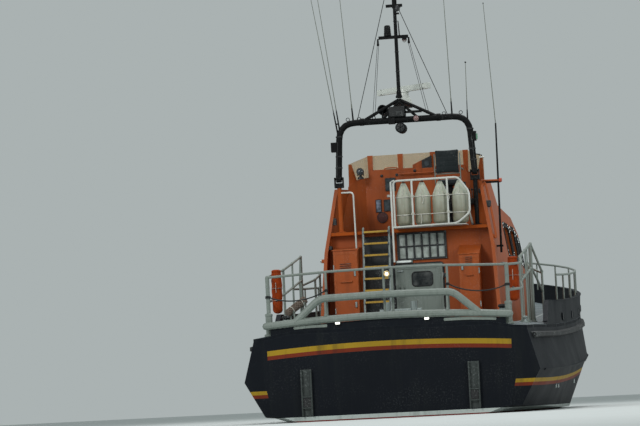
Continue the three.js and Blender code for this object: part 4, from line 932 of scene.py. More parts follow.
def curve_through(points, count):
    """Evenly spaced points on a smooth line through the given ones."""
    knots = [Vector(p) for p in points]
    knots = [knots[0] * 2 - knots[1], *knots, knots[-1] * 2 - knots[-2]]
    out = []
    for i in range(count):
        place = i / (count - 1) * (len(points) - 1)
        k = min(int(place), len(points) - 2)
        t = place - k
        a, b, c, d = knots[k : k + 4]
        out.append(
            (b * 2 + (c - a) * t + (a * 2 - b * 5 + c * 4 - d) * t**2 + (b * 3 - a - c * 3 + d) * t**3) / 2
        )
    return out


def rounded_loop(u0, u1, v0, v1, radius, steps=6):
    """A rectangle's outline with rounded corners."""
    corners = ((u1, v0, -0.5), (u1, v1, 0.0), (u0, v1, 0.5), (u0, v0, 1.0))
    loop = []
    for u, v, start in corners:
        centre_u = u - radius if u == u1 else u + radius
        centre_v = v + radius if v == v0 else v - radius
        for k in range(steps + 1):
            angle = pi * (start + 0.5 * k / steps)
            loop.append((centre_u + radius * cos(angle), centre_v + radius * sin(angle)))
    return loop


# Stage


class LIFEBOAT_OT_stage(bpy.types.Operator):
    """Sets up the camera, the pale floor at the waterline and the soft studio light"""

    bl_idname = "lifeboat.stage"
    bl_label = "Stage"

    def execute(self, context):
        stage = context.scene.lifeboat_stage
        camera = placed("camera", bpy.data.cameras.new("camera"))
        ahead = Vector((
            sin(stage.yaw) * cos(stage.pitch),
            cos(stage.yaw) * cos(stage.pitch),
            sin(stage.pitch),
        ))
        camera.location = stage.camera_place
        camera.rotation_euler = (Quaternion(ahead, stage.roll) @ ahead.to_track_quat("-Z", "Y")).to_euler()
        camera.data.sensor_fit = "HORIZONTAL"
        camera.data.sensor_width = 36
        camera.data.lens = stage.lens
        camera.data.clip_end = 2000
        context.scene.camera = camera
        self.floor(context, stage)
        self.light(context, stage)
        context.scene.view_settings.view_transform = "Standard"
        return {"FINISHED"}

    def floor(self, context, stage):
        reach = 900.0
        mesh = bpy.data.meshes.new("floor")
        mesh.from_pydata(
            [(-reach, -reach, 0), (reach, -reach, 0), (reach, reach, 0), (-reach, reach, 0)], [],
            [(0, 1, 2, 3)]
        )
        floor = placed("floor", mesh)
        material, w, shader = blank("pale floor")
        cloudy = w.step(w.grain(w.place(), 0.35), 0.2, 0.8)
        low = opaque([c * 0.96 for c in stage.floor])
        surface(w, shader, w.blend(cloudy, low, opaque(stage.floor)), 0.9)
        # From below the water the floor isn't seen.
        clear = w.add("BsdfTransparent")
        facing = w.add("NewGeometry").outputs["Backfacing"]
        both = w.add("MixShader", {0: facing, 1: shader.outputs[0], 2: clear.outputs[0]})
        output = next(n for n in w.tree.nodes if n.type == "OUTPUT_MATERIAL")
        w.feed(output.inputs[0], both.outputs[0])
        mesh.materials.append(material)

    def light(self, context, stage):
        world = bpy.data.worlds.new("soft backdrop")
        context.scene.world = world
        world.use_nodes = True
        sky = next(n for n in world.node_tree.nodes if n.type == "BACKGROUND")
        sky.inputs[0].default_value = opaque(stage.backdrop)
        sky.inputs[1].default_value = 0.95
        for name, place, size, power in STUDIO_LIGHTS:
            lamp = bpy.data.lights.new(name, "AREA")
            lamp.shape, lamp.size, lamp.energy = "DISK", size, power
            holder = placed(name, lamp)
            holder.location = place
            aim = Vector(STUDIO_AIM) - Vector(place)
            holder.rotation_euler = aim.to_track_quat("-Z", "Y").to_euler()


STUDIO_AIM = (0, -3, 2.5)
STUDIO_LIGHTS = [
    # name, place, diameter, power
    ("key", (-16, -34, 20), 12, 4800),
    ("fill", (22, -26, 12), 14, 2000),
    ("top", (3, 4, 26), 16, 3800),
]

# Guard ropes

ROPE_POINTS = [
    # distance from the centreline, height
    (1.031, 2.1406), (1.12, 2.098), (1.22, 2.060), (1.33, 2.032), (1.44, 2.014),
    (1.55, 2.006), (1.66, 2.009), (1.77, 2.024), (1.86, 2.045), (1.956, 2.0788),
]


class LIFEBOAT_OT_guard_ropes(bpy.types.Operator):
    """Hangs the two short guard ropes between the rail posts"""

    bl_idname = "lifeboat.guard_ropes"
    bl_label = "Guard ropes"

    def execute(self, context):
        diameter = context.scene.lifeboat_sizes.rope_diameter
        for side, hand in HANDS.items():
            points = curve_through([(hand * x, RAIL_Y, z) for x, z in ROPE_POINTS], 25)
            data = bpy.data.curves.new("guard_rope_line_" + side, "CURVE")
            data.dimensions = "3D"
            data.bevel_depth = diameter / 2
            data.bevel_resolution = 4
            data.use_fill_caps = True
            spline = data.splines.new("POLY")
            spline.points.add(len(points) - 1)
            for knot, point in zip(spline.points, points):
                knot.co = (*point, 1)
            data.materials.append(finish("black braid"))
            rope = placed("guard_rope_line_" + side, data)
            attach(rope, "root")
            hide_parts("guard_rope_" + side)
            hitches = Sketch()
            for x, z, post in ((HUMP_X, 2.146, 0.021), (CORNER_X, 2.085, 0.034)):
                hitches.hitch(hand * x, RAIL_Y, z, post + 0.007, (0, 0.08, 1))
            lashings = make(hitches, "guard_rope_hitches_" + side, ["black braid"])
        return {"FINISHED"}


# Finishes of the solid model

NODE_FINISHES = {
    "navy hull paint": ["hull"],
    "navy topcoat": ["bulwark", "stern_board"],
    "non-slip deck paint": ["deck", "cockpit_floor"],
    "belting rubber": ["belting"],
    "antifouling": ["keel", "rudder_port", "rudder_starboard"],
    "bronze": ["propeller_port", "propeller_starboard", "shaft_bracket_port", "shaft_bracket_starboard"],
    "galvanised steel": ["bow_bitts", "tow_bollard"],
    "channel steel": ["transom_channel_port", "transom_channel_starboard"],
    "grey rail paint": [
        "stern_guard", "aft_rail", "side_rail_port", "side_rail_starboard", "bow_rail", "aft_door",
        "foredeck_hatch",
    ],
    "white enamel": ["fender_rack", "wing_handrail"],
    "dark plastic": ["vent_grille"],
    "orange topcoat": [
        "wheelhouse_side_port", "wheelhouse_side_starboard", "wheelhouse_roof", "wheelhouse_front",
        "aft_bulkhead", "cockpit_coaming", "windscreen_frame", "locker_port", "locker_starboard",
        "locker_lid_port", "locker_lid_starboard",
    ],
    "screen glass": ["windscreen_glass"],
    "dark window glass": ["side_glass_port", "side_glass_starboard", "front_glass"],
    "tread alloy": ["ladder"],
    # The starboard foot is black all the way down: partly its paint, partly painted shade for the dark gap
    # above the starboard locker
    "black mast paint": ["arch_foot_starboard", "mast_arch", "mast_pole"],
    "port foot paint": ["arch_foot_port"],
    "aerial paint": ["aerial_port_outer", "aerial_port_inner", "aerial_starboard", "aerial_short"],
    "tall aerial paint": ["aerial_tall"],
    "radar plastic": ["radar_scanner"],
}


class LIFEBOAT_OT_solid_finishes(bpy.types.Operator):
    """Paints the solid model's nodes and evens their shading"""

    bl_idname = "lifeboat.solid_finishes"
    bl_label = "Hull, deck and casing finishes"

    def execute(self, context):
        for name, nodes in NODE_FINISHES.items():
            for node in nodes:
                solid = NODES[node]
                for place in solid.material_slots:
                    place.material = finish(name)
                split = solid.data.attributes.get("custom_normal")
                if split:
                    solid.data.attributes.remove(split)
                smooth(solid.data)
                solid.modifiers.new("Weld", "WELD").merge_threshold = 0.0001
                creases = solid.modifiers.new("Creases", "EDGE_SPLIT")
                creases.split_angle = radians(28)
        return {"FINISHED"}


# Fenders

RACK_Y = -4.98
FENDER_XS = (-0.038, 0.29, 0.606, 0.952)
FENDER = {"y": -4.815, "radius": 0.146, "foot": 3.317, "shoulder": 3.85, "cone": 0.24, "top": 4.125}
FENDER_BANDS = (3.524, 3.838)
FENDER_SEAMS = (3.70, 3.42)
FENDER_HITCHES = [(x, z) for z in (3.838, 3.53) for x in (0.128, 0.752)]
FENDER_TAILS = [
    # x, height, fall
    (0.27, 3.52, 0.16),
    (0.31, 3.83, 0.12),
    (0.75, 3.53, 0.21),
    (0.77, 3.83, 0.1),
]


def fender_radius(z):
    """The fender's profile: a domed foot, a straight body and a cone up to the neck."""
    foot, radius = FENDER["foot"], FENDER["radius"]
    if z < foot + 0.1:
        share = (z - foot) / 0.1
        return radius * (1 - (1 - share) ** 2.4) ** 0.5
    if z < FENDER["shoulder"]:
        return radius
    share = min(1, (z - FENDER["shoulder"]) / FENDER["cone"])
    return radius * (1 - share) ** 0.92 + 0.034 * share


class LIFEBOAT_OT_fenders(bpy.types.Operator):
    """Makes the four inflated fenders with their neck eyes and lashings"""

    bl_idname = "lifeboat.fenders"
    bl_label = "Fenders"

    def execute(self, context):
        for number, x in enumerate(FENDER_XS, 1):
            fender = self.fender(number, x)
            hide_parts("fenders")
        self.lashings()
        return {"FINISHED"}

    def fender(self, number, x):
        rows, sides = 60, 48
        body = Sketch()
        points = []
        span = FENDER["top"] - 0.03 - FENDER["foot"]
        for r in range(rows + 1):
            z = FENDER["foot"] + span * (0.5 - 0.5 * cos(pi * r / rows))
            radius = max(fender_radius(z), 0.002)
            pinch = sum(0.006 * exp(-(((z - band) / 0.02) ** 2)) for band in FENDER_BANDS)
            for angle in angles(sides):
                wrinkle = noise.noise(Vector((cos(angle) * 2 + number * 7, sin(angle) * 2, z * 9)))
                pleats = 0.004 * cos(angle * 12) * max(0, (z - 3.86) / 0.2)
                size = max(radius - pinch - 0.004 + 0.003 * wrinkle + pleats, 0.001)
                points.append((x + size * cos(angle), FENDER["y"] + size * sin(angle), z))
        body.skin(points, sides)
        for z in FENDER_SEAMS:
            body.ring((x, FENDER["y"], z), UP, fender_radius(z) - 0.004, 0.0022, around=48, sides=6)
        fender = make(body, f"fender_{number}", ["fender vinyl"], angle=60, soften=False)
        eye = Sketch()
        neck = (x, FENDER["y"], FENDER["top"])
        eye.turned(
            [(0.0, -0.065), (0.034, -0.063), (0.036, -0.035), (0.03, -0.027), (0.0, -0.025)], neck, paint=1
        )
        eye.ring((*neck[:2], neck[2] - 0.021), AHEAD, 0.014, 0.006, paint=1)
        eye.ring((*neck[:2], neck[2] - 0.05), UP, 0.036, 0.005)
        make(eye, f"fender_eye_{number}", ["strap webbing", "dark rubber"])
        return fender

    def lashings(self):
        lines = Sketch()
        reach = FENDER["radius"] + 0.002
        for band in FENDER_BANDS:
            path = []
            for x in FENDER_XS:
                for k in range(9):
                    angle = pi * (1.12 + 0.76 * k / 8)
                    sag = 0.006 * sin(pi * k / 8)
                    path.append((x + reach * cos(angle), FENDER["y"] + reach * sin(angle), band - sag))
            lines.sweep(curve_through(path, 110), 0.008, sides=8)
        for x in FENDER_XS:
            ring = [
                (x + 0.006 * cos(a), FENDER["y"] - 0.105 + 0.006 * sin(a) - (3.99 - z) * 0.34, z)
                for a, z in ((k * 0.9, 3.99 - 0.011 * k) for k in range(12))
            ]
            lines.sweep(ring, 0.005, sides=6)
        for x, z in FENDER_HITCHES:
            lines.hitch(x, RACK_Y, z, 0.024)
        for x, z, fall in FENDER_TAILS:
            front = FENDER["y"] - reach - 0.008
            tail = [
                (x, front, z), (x + 0.012, front - 0.006, z - fall * 0.5),
                (x - 0.006, front - 0.004, z - fall)
            ]
            lines.sweep(curve_through(tail, 12), 0.0055, sides=6)
            lines.ball((x - 0.006, front - 0.004, z - fall), 0.011, sides=8)
        make(lines, "fender_lashings", ["strap webbing"])


# Rescue bags

BAG = {"x": 2.007, "y": -6.9, "radius": 0.092, "foot": 1.842, "top": 2.588}
BAG_WAISTS = ((0.010, 0.82), (0.007, 0.3))  # depth, share of the height
BAG_STRAPS = {2.455: 0.078, 2.065: 0.083}  # height: radius


def swell(body, pressure, cap):
    """Blows a closed shape up as stuffed cloth, and keeps every point within the cap of where it was."""
    rest = [v.co.copy() for v in body.data.vertices]
    cushion = body.modifiers.new("Stuffing", "CLOTH")
    cushion.settings.use_pressure = True
    cushion.settings.uniform_pressure_force = pressure
    cushion.settings.effector_weights.gravity = 0
    cushion.settings.quality = 5
    cushion.point_cache.frame_end = 20
    scene = bpy.context.scene
    for step in range(1, 21):
        scene.frame_set(step)
    grown = body.evaluated_get(bpy.context.evaluated_depsgraph_get())
    shape = [v.co.copy() for v in grown.data.vertices]
    body.modifiers.remove(cushion)
    scene.frame_set(1)
    for vertex, start, end in zip(body.data.vertices, rest, shape):
        shift = end - start
        vertex.co = start + shift * min(1, cap / max(shift.length, 1e-9))


PAD_CUTS = 34


def pad_mesh(name, low, high, corner, crown):
    """A pad whose sides pull in between its corners and whose faces are crowned."""
    middle = (Vector(low) + Vector(high)) / 2
    half = (Vector(high) - Vector(low)) / 2
    shell = bmesh.new()
    bmesh.ops.create_cube(shell, size=2.0)
    bmesh.ops.subdivide_edges(shell, edges=shell.edges, cuts=PAD_CUTS, use_grid_fill=True)
    thin = min(range(3), key=lambda k: half[k])
    u, v = [k for k in range(3) if k != thin]
    for vertex in shell.verts:
        spot = vertex.co.copy()
        a, b, c = spot[u], spot[v], spot[thin]
        # The outline keeps its corners and draws in a little between them.
        pull_a = 1 - crown * 0.5 * (1 - b * b)
        pull_b = 1 - crown * 0.5 * (1 - a * a)
        edge = max(abs(a), abs(b)) ** 10
        spot[u] = a * pull_a
        spot[v] = b * pull_b
        spot[thin] = c * (1 - 0.42 * edge) * (0.84 + 0.16 * (1 - a * a) * (1 - b * b))
        square = hypot(max(0, abs(a) - 0.86), max(0, abs(b) - 0.86))
        trim = 1 - max(0, square - 0.14) * corner
        spot[u] *= trim
        spot[v] *= trim
        vertex.co = middle + Vector([spot[k] * half[k] for k in range(3)])
    mesh = bpy.data.meshes.new(name)
    shell.to_mesh(mesh)
    shell.free()
    smooth(mesh)
    return mesh


def channels(mesh, axis, places, depth, width, thin, side):
    """Presses sewn channels into one face of a pad."""
    for vertex in mesh.vertices:
        for place in places:
            groove = exp(-(((vertex.co[axis] - place) / width) ** 2))
            vertex.co[thin] -= side * depth * groove


class LIFEBOAT_OT_rescue_bags(bpy.types.Operator):
    """Makes the two red rescue bags that hang inside the side rails"""

    bl_idname = "lifeboat.rescue_bags"
    bl_label = "Rescue bags"

    def execute(self, context):
        for side, hand in HANDS.items():
            bag = self.bag(side, hand)
            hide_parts("rescue_bag_" + side)
            self.fittings(side, hand)
        return {"FINISHED"}

    def bag(self, side, hand):
        rows, sides = 72, 40
        points = []
        height = BAG["top"] - BAG["foot"]
        for r in range(rows + 1):
            share = r / rows
            z = BAG["foot"] + height * share
            close = (1 - (2 * share - 1) ** 14) ** 0.5
            waist = sum(depth * exp(-(((share - at) / 0.03) ** 2)) for depth, at in BAG_WAISTS)
            belly = 0.84 + 0.12 * sin(pi * (0.12 + 0.8 * (1 - share)))
            for angle in angles(sides):
                fold = noise.noise(Vector((cos(angle) * 1.7, sin(angle) * 1.7 + hand * 5, z * 11)))
                slack = 0.006 * fold + 0.003 * cos(angle * 7 + z * 40)
                size = max((BAG["radius"] * belly - waist + slack) * close, 0.003)
                points.append((hand * BAG["x"] + size * cos(angle), BAG["y"] + size * sin(angle), z))
        shape = Sketch()
        shape.skin(points, sides)
        bag = make(shape, "rescue_sack_" + side, ["bag cloth"], angle=70, soften=False)
        swell(bag, 1.5, 0.006)
        return bag

    def fittings(self, side, hand):
        x, y = hand * BAG["x"], BAG["y"]
        trim = Sketch()
        for z, size in BAG_STRAPS.items():
            trim.strap(self.hoop(x, y, z, size), 0.034, 0.003, closed=True)
            trim.block(
                (x - 0.02, y - size - 0.011, z - 0.016), (x + 0.02, y - size - 0.001, z + 0.016), 0.003, 1
            )
        trim.strap(self.hoop(x, y, 2.27, 0.0895), 0.05, 0.002, paint=2, closed=True)
        lid = [(0.0, 0.003), (0.05, 0.002), (0.078, -0.012), (0.084, -0.035), (0.08, -0.037), (0.0, -0.03)]
        trim.turned([(r, 2.586 + h) for r, h in reversed(lid)], (x, y, 0), paint=3)
        grip = [(x, y - 0.079, 2.36), (x, y - 0.1, 2.34), (x, y - 0.1, 2.22), (x, y - 0.083, 2.2)]
        trim.strap(curve_through(grip, 14), 0.026, 0.004, up=STARBOARD)
        rail_x = hand * (0.094 + BAG["x"])
        for z in BAG_STRAPS:
            trim.strap([(x + hand * 0.06, y + 0.02, z), (rail_x, y + 0.02, z)], 0.03, 0.004)
        finishes = ["strap webbing", "dark plastic", "white enamel", "bag cloth"]
        make(trim, "rescue_sack_straps_" + side, finishes)

    def hoop(self, x, y, z, size):
        return [(x + size * cos(t), y + size * sin(t), z) for t in angles(32)]


# Seats

HELM = {"x": 0.668, "y": -3.8, "floor": 3.3004, "post": 0.228}
CABIN_FLOOR_Z = 1.89
CREW_PLACES = list(product((-0.7, 0.7), (-0.2, 1.2)))


class LIFEBOAT_OT_seats(bpy.types.Operator):
    """Makes the helm seat and the crew's seats in the cabin"""

    bl_idname = "lifeboat.seats"
    bl_label = "Seats"

    def execute(self, context):
        crown = context.scene.lifeboat_sizes.pad_crown
        x, y, floor = HELM["x"], HELM["y"], HELM["floor"]
        stand = Sketch()
        stand.block((x - 0.2, y - 0.18, floor), (x + 0.2, y + 0.18, floor + 0.02), 0.006)
        stand.turned(
            [
                (0.0, 0.02), (0.11, 0.02), (0.1, 0.05), (0.07, 0.08), (0.066, 0.4), (0.06, 0.42),
                (0.052, 0.76), (0.09, 0.78), (0.0, 0.785)
            ],
            (x, y, floor),
        )
        for dx, dy in product((-0.15, 0.15), (-0.13, 0.13)):
            stand.bolts([(x + dx, y + dy, floor + 0.02)], UP, 0.012, 0.01, 1)
        stand.ring((x, y, floor + 0.3), UP, 0.16, 0.012, 1)
        for a in (0, pi / 2, pi, 1.5 * pi):
            rim = (x + 0.16 * cos(a), y + 0.16 * sin(a), floor + 0.3)
            stand.rod((x, y, floor + 0.3), rim, 0.009, 1, 8)
        for dx in (-HELM["post"], HELM["post"]):
            path = [
                (x + dx, y + 0.02, floor + 0.79), (x + dx, y - 0.19, floor + 0.8),
                (x + dx, y - 0.228, floor + 0.92), (x + dx, y - 0.235, floor + 1.34)
            ]
            stand.sweep(curve_through(path, 22), 0.011, 1, 10)
        for lift in (0.9, 0.98):
            bar = [(x + dx, y - 0.229, floor + lift) for dx in (-HELM["post"], HELM["post"])]
            stand.rod(*bar, 0.012, 1, 10)
        for dx in (-0.24, 0.24):
            arm = [
                (x + dx, y - 0.2, floor + 1.06), (x + dx, y - 0.02, floor + 1.07),
                (x + dx, y + 0.1, floor + 1.06)
            ]
            stand.sweep(curve_through(arm, 12), 0.014, 1, 10)
        frame_piece = make(stand, "helm_seat_stand", ["black mast paint", "grey rail paint"])
        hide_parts("helm_seat")
        pads = [
            (
                "helm_seat_cushion", (x - 0.21, y - 0.19, floor + 0.79),
                (x + 0.21, y + 0.22, floor + 0.885), 2, 1
            ),
            (
                "helm_seat_back", (x - 0.216, y - 0.284, floor + 0.982),
                (x + 0.216, y - 0.216, floor + 1.408), 1, -1
            ),
        ]
        for name, low, high, thin, side in pads:
            pad = self.pad(name, low, high, crown, thin, side)
            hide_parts("helm_seat")
        self.crew(crown)
        return {"FINISHED"}

    def pad(self, name, low, high, crown, thin, side, simulate=True):
        mesh = pad_mesh(name, low, high, 0.9, 0.09)
        pad = put(mesh, name, ["seat cover"], "root")
        if simulate:
            swell(pad, 3.0, crown * 0.3)
        span = 2 if thin == 1 else 1
        middle = (low[span] + high[span]) / 2
        reach = (high[span] - low[span]) / 2
        channels(mesh, span, [middle - reach * 0.4, middle, middle + reach * 0.4], 0.004, 0.008, thin, side)
        return pad

    def crew(self, crown):
        floor = CABIN_FLOOR_Z
        plinth = Sketch()
        plinth.block((-0.95, -0.6, 1.75), (0.95, 1.6, floor + 0.02), 0.01)
        for x, y in CREW_PLACES:
            plinth.block((x - 0.2, y - 0.2, floor + 0.01), (x + 0.2, y + 0.2, floor + 0.4), 0.02)
            plinth.block((x - 0.17, y - 0.285, floor + 0.12), (x + 0.17, y - 0.262, floor + 1.1), 0.008)
        base = make(plinth, "crew_seat_bases", ["dark plastic"])
        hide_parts("crew_seats")
        for number, (x, y) in enumerate(CREW_PLACES, 1):
            for part, low, high, thin, side in (
                ("cushion", (x - 0.22, y - 0.2, floor + 0.41), (x + 0.22, y + 0.22, floor + 0.55), 2, 1),
                ("back", (x - 0.22, y - 0.258, floor + 0.5), (x + 0.22, y - 0.205, floor + 1.14), 1, 1),
            ):
                pad = self.pad(f"crew_seat_{part}_{number}", low, high, crown, thin, side, simulate=False)
                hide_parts("crew_seats")


# Stern


GUARD_PLATES = ((-1.554, -1.001), (0.94, 1.791))
GUARD_LAMP_XS = (-0.816, 0.66)
STERN_LIGHT = (0.018, RAIL_Y, 2.365)
FAIRLEADS = ((-1.74, -7.66), (1.87, -7.66))
CLEAT_YS = (-6.05, 4.9)
NET_ENDS = ((-1.80, -7.20, 1.82), (-1.53, -6.90, 2.06))
INFILL_YS = (-5.65, -4.7, -4.35)
CHANNEL_X = 1.385
CHANNEL_FACE_Y = -8.058
CHANNEL_BOLT_ZS = (0.14, 0.34, 0.54, 0.74, 0.83)

class LIFEBOAT_OT_stern(bpy.types.Operator):
    """Fits the lamps, plates, post feet and fairleads at the stern"""

    bl_idname = "lifeboat.stern"
    bl_label = "Stern fittings"

    def execute(self, context):
        self.guard_plates()
        self.lamps()
        self.post_feet()
        self.fairleads()
        self.net_roll()
        self.infill()
        self.channel_fittings()
        return {"FINISHED"}

    def guard_plates(self):
        plates = Sketch()
        for low, high in GUARD_PLATES:
            places = [low + (high - low) * k / 6 for k in range(7)]
            line = [(x, GUARD_Y + 0.007, min(1.563, stern_board_top(x) - 0.026)) for x in places]
            plates.strap(line, 0.046, 0.014, up=AHEAD)
            plates.bolts([(x, GUARD_Y, z) for x, _, z in line[::2]], AFT, 0.008, 0.006, 1)
        make(plates, "guard_plates", ["grey rail paint", "galvanised steel"])

    def lamps(self):
        lamps = Sketch()
        for x in GUARD_LAMP_XS:
            lamps.block((x - 0.042, GUARD_Y - 0.04, 1.572), (x + 0.042, GUARD_Y + 0.014, 1.614), 0.012)
            lamps.block((x - 0.034, GUARD_Y - 0.046, 1.578), (x + 0.034, GUARD_Y - 0.037, 1.608), 0.004, 1)
        make(lamps, "guard_lamps", ["white enamel", "white lamp"])
        stern = Sketch()
        x, y, z = STERN_LIGHT
        stern.turned(
            [(0.0, -0.04), (0.036, -0.035), (0.046, 0.0), (0.046, 0.03), (0.04, 0.036)], (x, y - 0.01, z),
            AFT, 0
        )
        stern.turned(
            [(0.027, 0.03), (0.025, 0.046), (0.014, 0.054), (0.0, 0.056)], (x, y - 0.01, z), AFT, 1
        )
        stern.ring((x, y - 0.045, z), AHEAD, 0.043, 0.011, 3)
        stern.block((-0.045, y - 0.008, z - 0.055), (0.095, y + 0.008, z - 0.025), 0.003, 2)
        stern.rod((x, y, z - 0.05), (x, y, z - 0.01), 0.012, 2)
        finishes = ["dark plastic", "stern lamp", "grey rail paint", "bronze"]
        make(stern, "stern_light", finishes)

    def post_feet(self):
        feet = Sketch()
        places = [(x, RAIL_Y, 0.021) for x in (-HUMP_X, -0.045, 0.095, HUMP_X)]
        places += [(hand * x, y, radius) for hand in HANDS.values() for x, y, _, radius in SIDE_POSTS]
        for x, y, radius in places:
            z = deck_z(x, y)
            feet.turned(
                [
                    (radius + 0.03, z - 0.012), (radius + 0.03, z + 0.01), (radius + 0.012, z + 0.014),
                    (radius + 0.008, z + 0.06), (radius + 0.001, z + 0.062)
                ],
                (x, y, 0)
            )
            for k in range(4):
                a = pi * (k / 2 + 0.25)
                feet.bolts(
                    [(x + (radius + 0.021) * cos(a), y + (radius + 0.021) * sin(a), z + 0.008)], UP, 0.006,
                    0.008, 1
                )
        for x in (-CORNER_X, CORNER_X):
            feet.turned(
                [(0.061, 1.77), (0.064, 1.785), (0.064, 1.805), (0.05, 1.815), (0.036, 1.82)],
                (x, RAIL_Y, 0)
            )
            feet.turned([(0.085, 1.44), (0.085, 1.47), (0.062, 1.48)], (x, RAIL_Y, 0))
            for z in (2.05, 2.25):
                feet.ring((x, RAIL_Y, z), UP, 0.034, 0.005, 1)
        for x in (-HUMP_X, HUMP_X):
            feet.turned([(0.03, 1.72), (0.03, 1.75), (0.022, 1.76)], (x, GUARD_Y, 0))
        make(feet, "rail_feet", ["grey rail paint", "galvanised steel"])

    def fairleads(self):
        leads = Sketch()
        for x, y in FAIRLEADS:
            foot = deck_z(x, y)
            leads.block((x - 0.11, y - 0.06, foot - 0.02), (x + 0.11, y + 0.06, foot + 0.03), 0.008, 0)
            leads.block((x - 0.05, y - 0.045, foot + 0.02), (x + 0.05, y + 0.045, 1.72), 0.02, 0)
            leads.turned(
                [(0.0, -0.034), (0.05, -0.03), (0.075, 0.0), (0.06, 0.03), (0.0, 0.036)], (x, y, 1.742),
                paint=1
            )
        for hand, y in product(HANDS.values(), CLEAT_YS):
            x = hand * (deck_edge(y)[0] - 0.28)
            z = deck_z(x, y)
            for dy in (-0.07, 0.07):
                leads.turned([(0.03, -0.01), (0.024, 0.05), (0.018, 0.09)], (x, y + dy, z), sides=14)
            horn = [
                (x, y - 0.19, z + 0.1), (x, y - 0.1, z + 0.085), (x, y, z + 0.09), (x, y + 0.1, z + 0.085),
                (x, y + 0.19, z + 0.1)
            ]
            leads.sweep(curve_through(horn, 17), 0.02, 0, 12)
            leads.block((x - 0.05, y - 0.13, z - 0.015), (x + 0.05, y + 0.13, z + 0.008), 0.004, 0)
        make(leads, "fairleads_and_cleats", ["galvanised steel", "dark rubber"])

    def net_roll(self):
        start, end = (Vector(p) for p in NET_ENDS)
        roll = Sketch()
        path = [start.lerp(end, k / 40) for k in range(41)]
        radii = [0.055 + 0.006 * noise.noise(Vector((k * 0.6, 3, 1))) for k in range(41)]
        radii[0] = radii[-1] = 0.04
        roll.sweep(path, radii, 0, 30)
        axis = (end - start).normalized()
        across = axis.orthogonal().normalized()
        rise = axis.cross(across)
        for lay, first in product((-1, 1), range(7)):
            cord = []
            for k in range(49):
                turn = 2 * pi * (first / 7 + lay * 1.1 * k / 48)
                at = start.lerp(end, 0.02 + 0.96 * k / 48)
                cord.append(at + 0.0605 * (cos(turn) * across + sin(turn) * rise))
            roll.sweep(cord, 0.0065, 0, 6)
        for share in (0.25, 0.75):
            roll.ring(start.lerp(end, share), axis, 0.066, 0.006, 1, around=32)
        net = make(roll, "scramble_net_roll", ["net cord", "strap webbing"], angle=70)
        cradle = Sketch()
        level = axis.cross(Vector(UP)).normalized()
        for share in (0.2, 0.8):
            at = start.lerp(end, share)
            z = deck_z(at.x, at.y)
            cradle.rod((at.x, at.y, z - 0.01), (at.x, at.y, at.z - 0.063), 0.016)
            cradle.turned([(0.045, -0.01), (0.045, 0.012), (0.02, 0.016)], (at.x, at.y, z), sides=16)
            turns = [k * pi / 10 for k in range(11)]
            saddle = [at + 0.074 * (cos(t) * level - sin(t) * Vector(UP)) for t in turns]
            cradle.strap(saddle, 0.04, 0.006, up=tuple(axis))
        make(cradle, "net_roll_cradle", ["grey rail paint"])

    def infill(self):
        """Thin bars between the starboard side rail's posts, and a knuckle where each post meets a tube."""
        bars = Sketch()
        for y in INFILL_YS:
            x, top = side_rail_at(y)
            bars.rod((x, y, deck_z(x, y)), (x, y, top), 0.009, 0, 8)
        make(bars, "starboard_rail_bars", ["grey rail paint"])
        collars = Sketch()
        for hand in HANDS.values():
            for x, y, top, _ in SIDE_POSTS[:3]:
                for z in (top, top - 0.42):
                    collars.ball((hand * x, y, z), 0.028, sides=12)
            for x, y, top, _ in SIDE_POSTS[3:]:
                collars.ball((hand * x, y, top), 0.028, sides=12)
        make(collars, "rail_knuckles", ["grey rail paint"])

    def channel_fittings(self):
        parts = Sketch()
        for hand in HANDS.values():
            x = hand * CHANNEL_X
            parts.block((x - 0.067, -8.052, 0.24), (x + 0.067, -8.016, 0.40), 0.006, 1)
            for z in (0.40, 0.22):
                parts.block(
                    (x - 0.088, CHANNEL_FACE_Y - 0.01, z), (x + 0.088, CHANNEL_FACE_Y, z + 0.02), 0.003
                )
            parts.bolts(
                [(x + dx, -8.0605, z) for dx in (-0.079, 0.079) for z in CHANNEL_BOLT_ZS], AFT, 0.008,
                0.006, 0
            )
        make(parts, "transom_fittings", ["channel steel", "dark rubber"])


def stern_board_top(x):
    """Height of the board under the guard, which follows the guard's camber."""
    return 1.6246 - 0.083 * (x / 2.018) ** 2


SIDE_RAIL = [
    # x, y, z
    (2.000, -7.802, 2.417),
    (2.130, -7.050, 2.462),
    (2.130, -6.750, 2.498),
    (2.045, -6.000, 2.622),
    (2.057, -5.010, 2.780),
    (2.069, -4.034, 2.942),
]
SIDE_POSTS = [
    # x, y, top, radius
    (2.045, -6.000, 2.622, 0.022),
    (2.057, -5.010, 2.780, 0.017),
    (2.069, -4.034, 2.942, 0.025),
    (2.200, -3.450, 2.467, 0.020),
    (1.963, -3.200, 2.560, 0.021),
    (1.905, -3.000, 2.651, 0.021),
]


def side_rail_at(y):
    """Half breadth and height of the side rail's top tube."""
    rows = [(row[1], row[0], row[2]) for row in SIDE_RAIL]
    _, x, z = along(rows, y)
    return x, z


# Casing

SIDE_WINDOWS = [
    # y0, y1, z0, z1
    (-1.85, -0.95, 2.88, 3.44),
    (-0.75, 0.15, 2.88, 3.43),
    (0.35, 1.20, 2.87, 3.39),
    (1.40, 2.12, 2.86, 3.33),
]
FRONT_WINDOWS = [(-1.04, -0.40), (-0.33, 0.33), (0.40, 1.04)]
FRONT_WINDOW_Z = (2.90, 3.39)


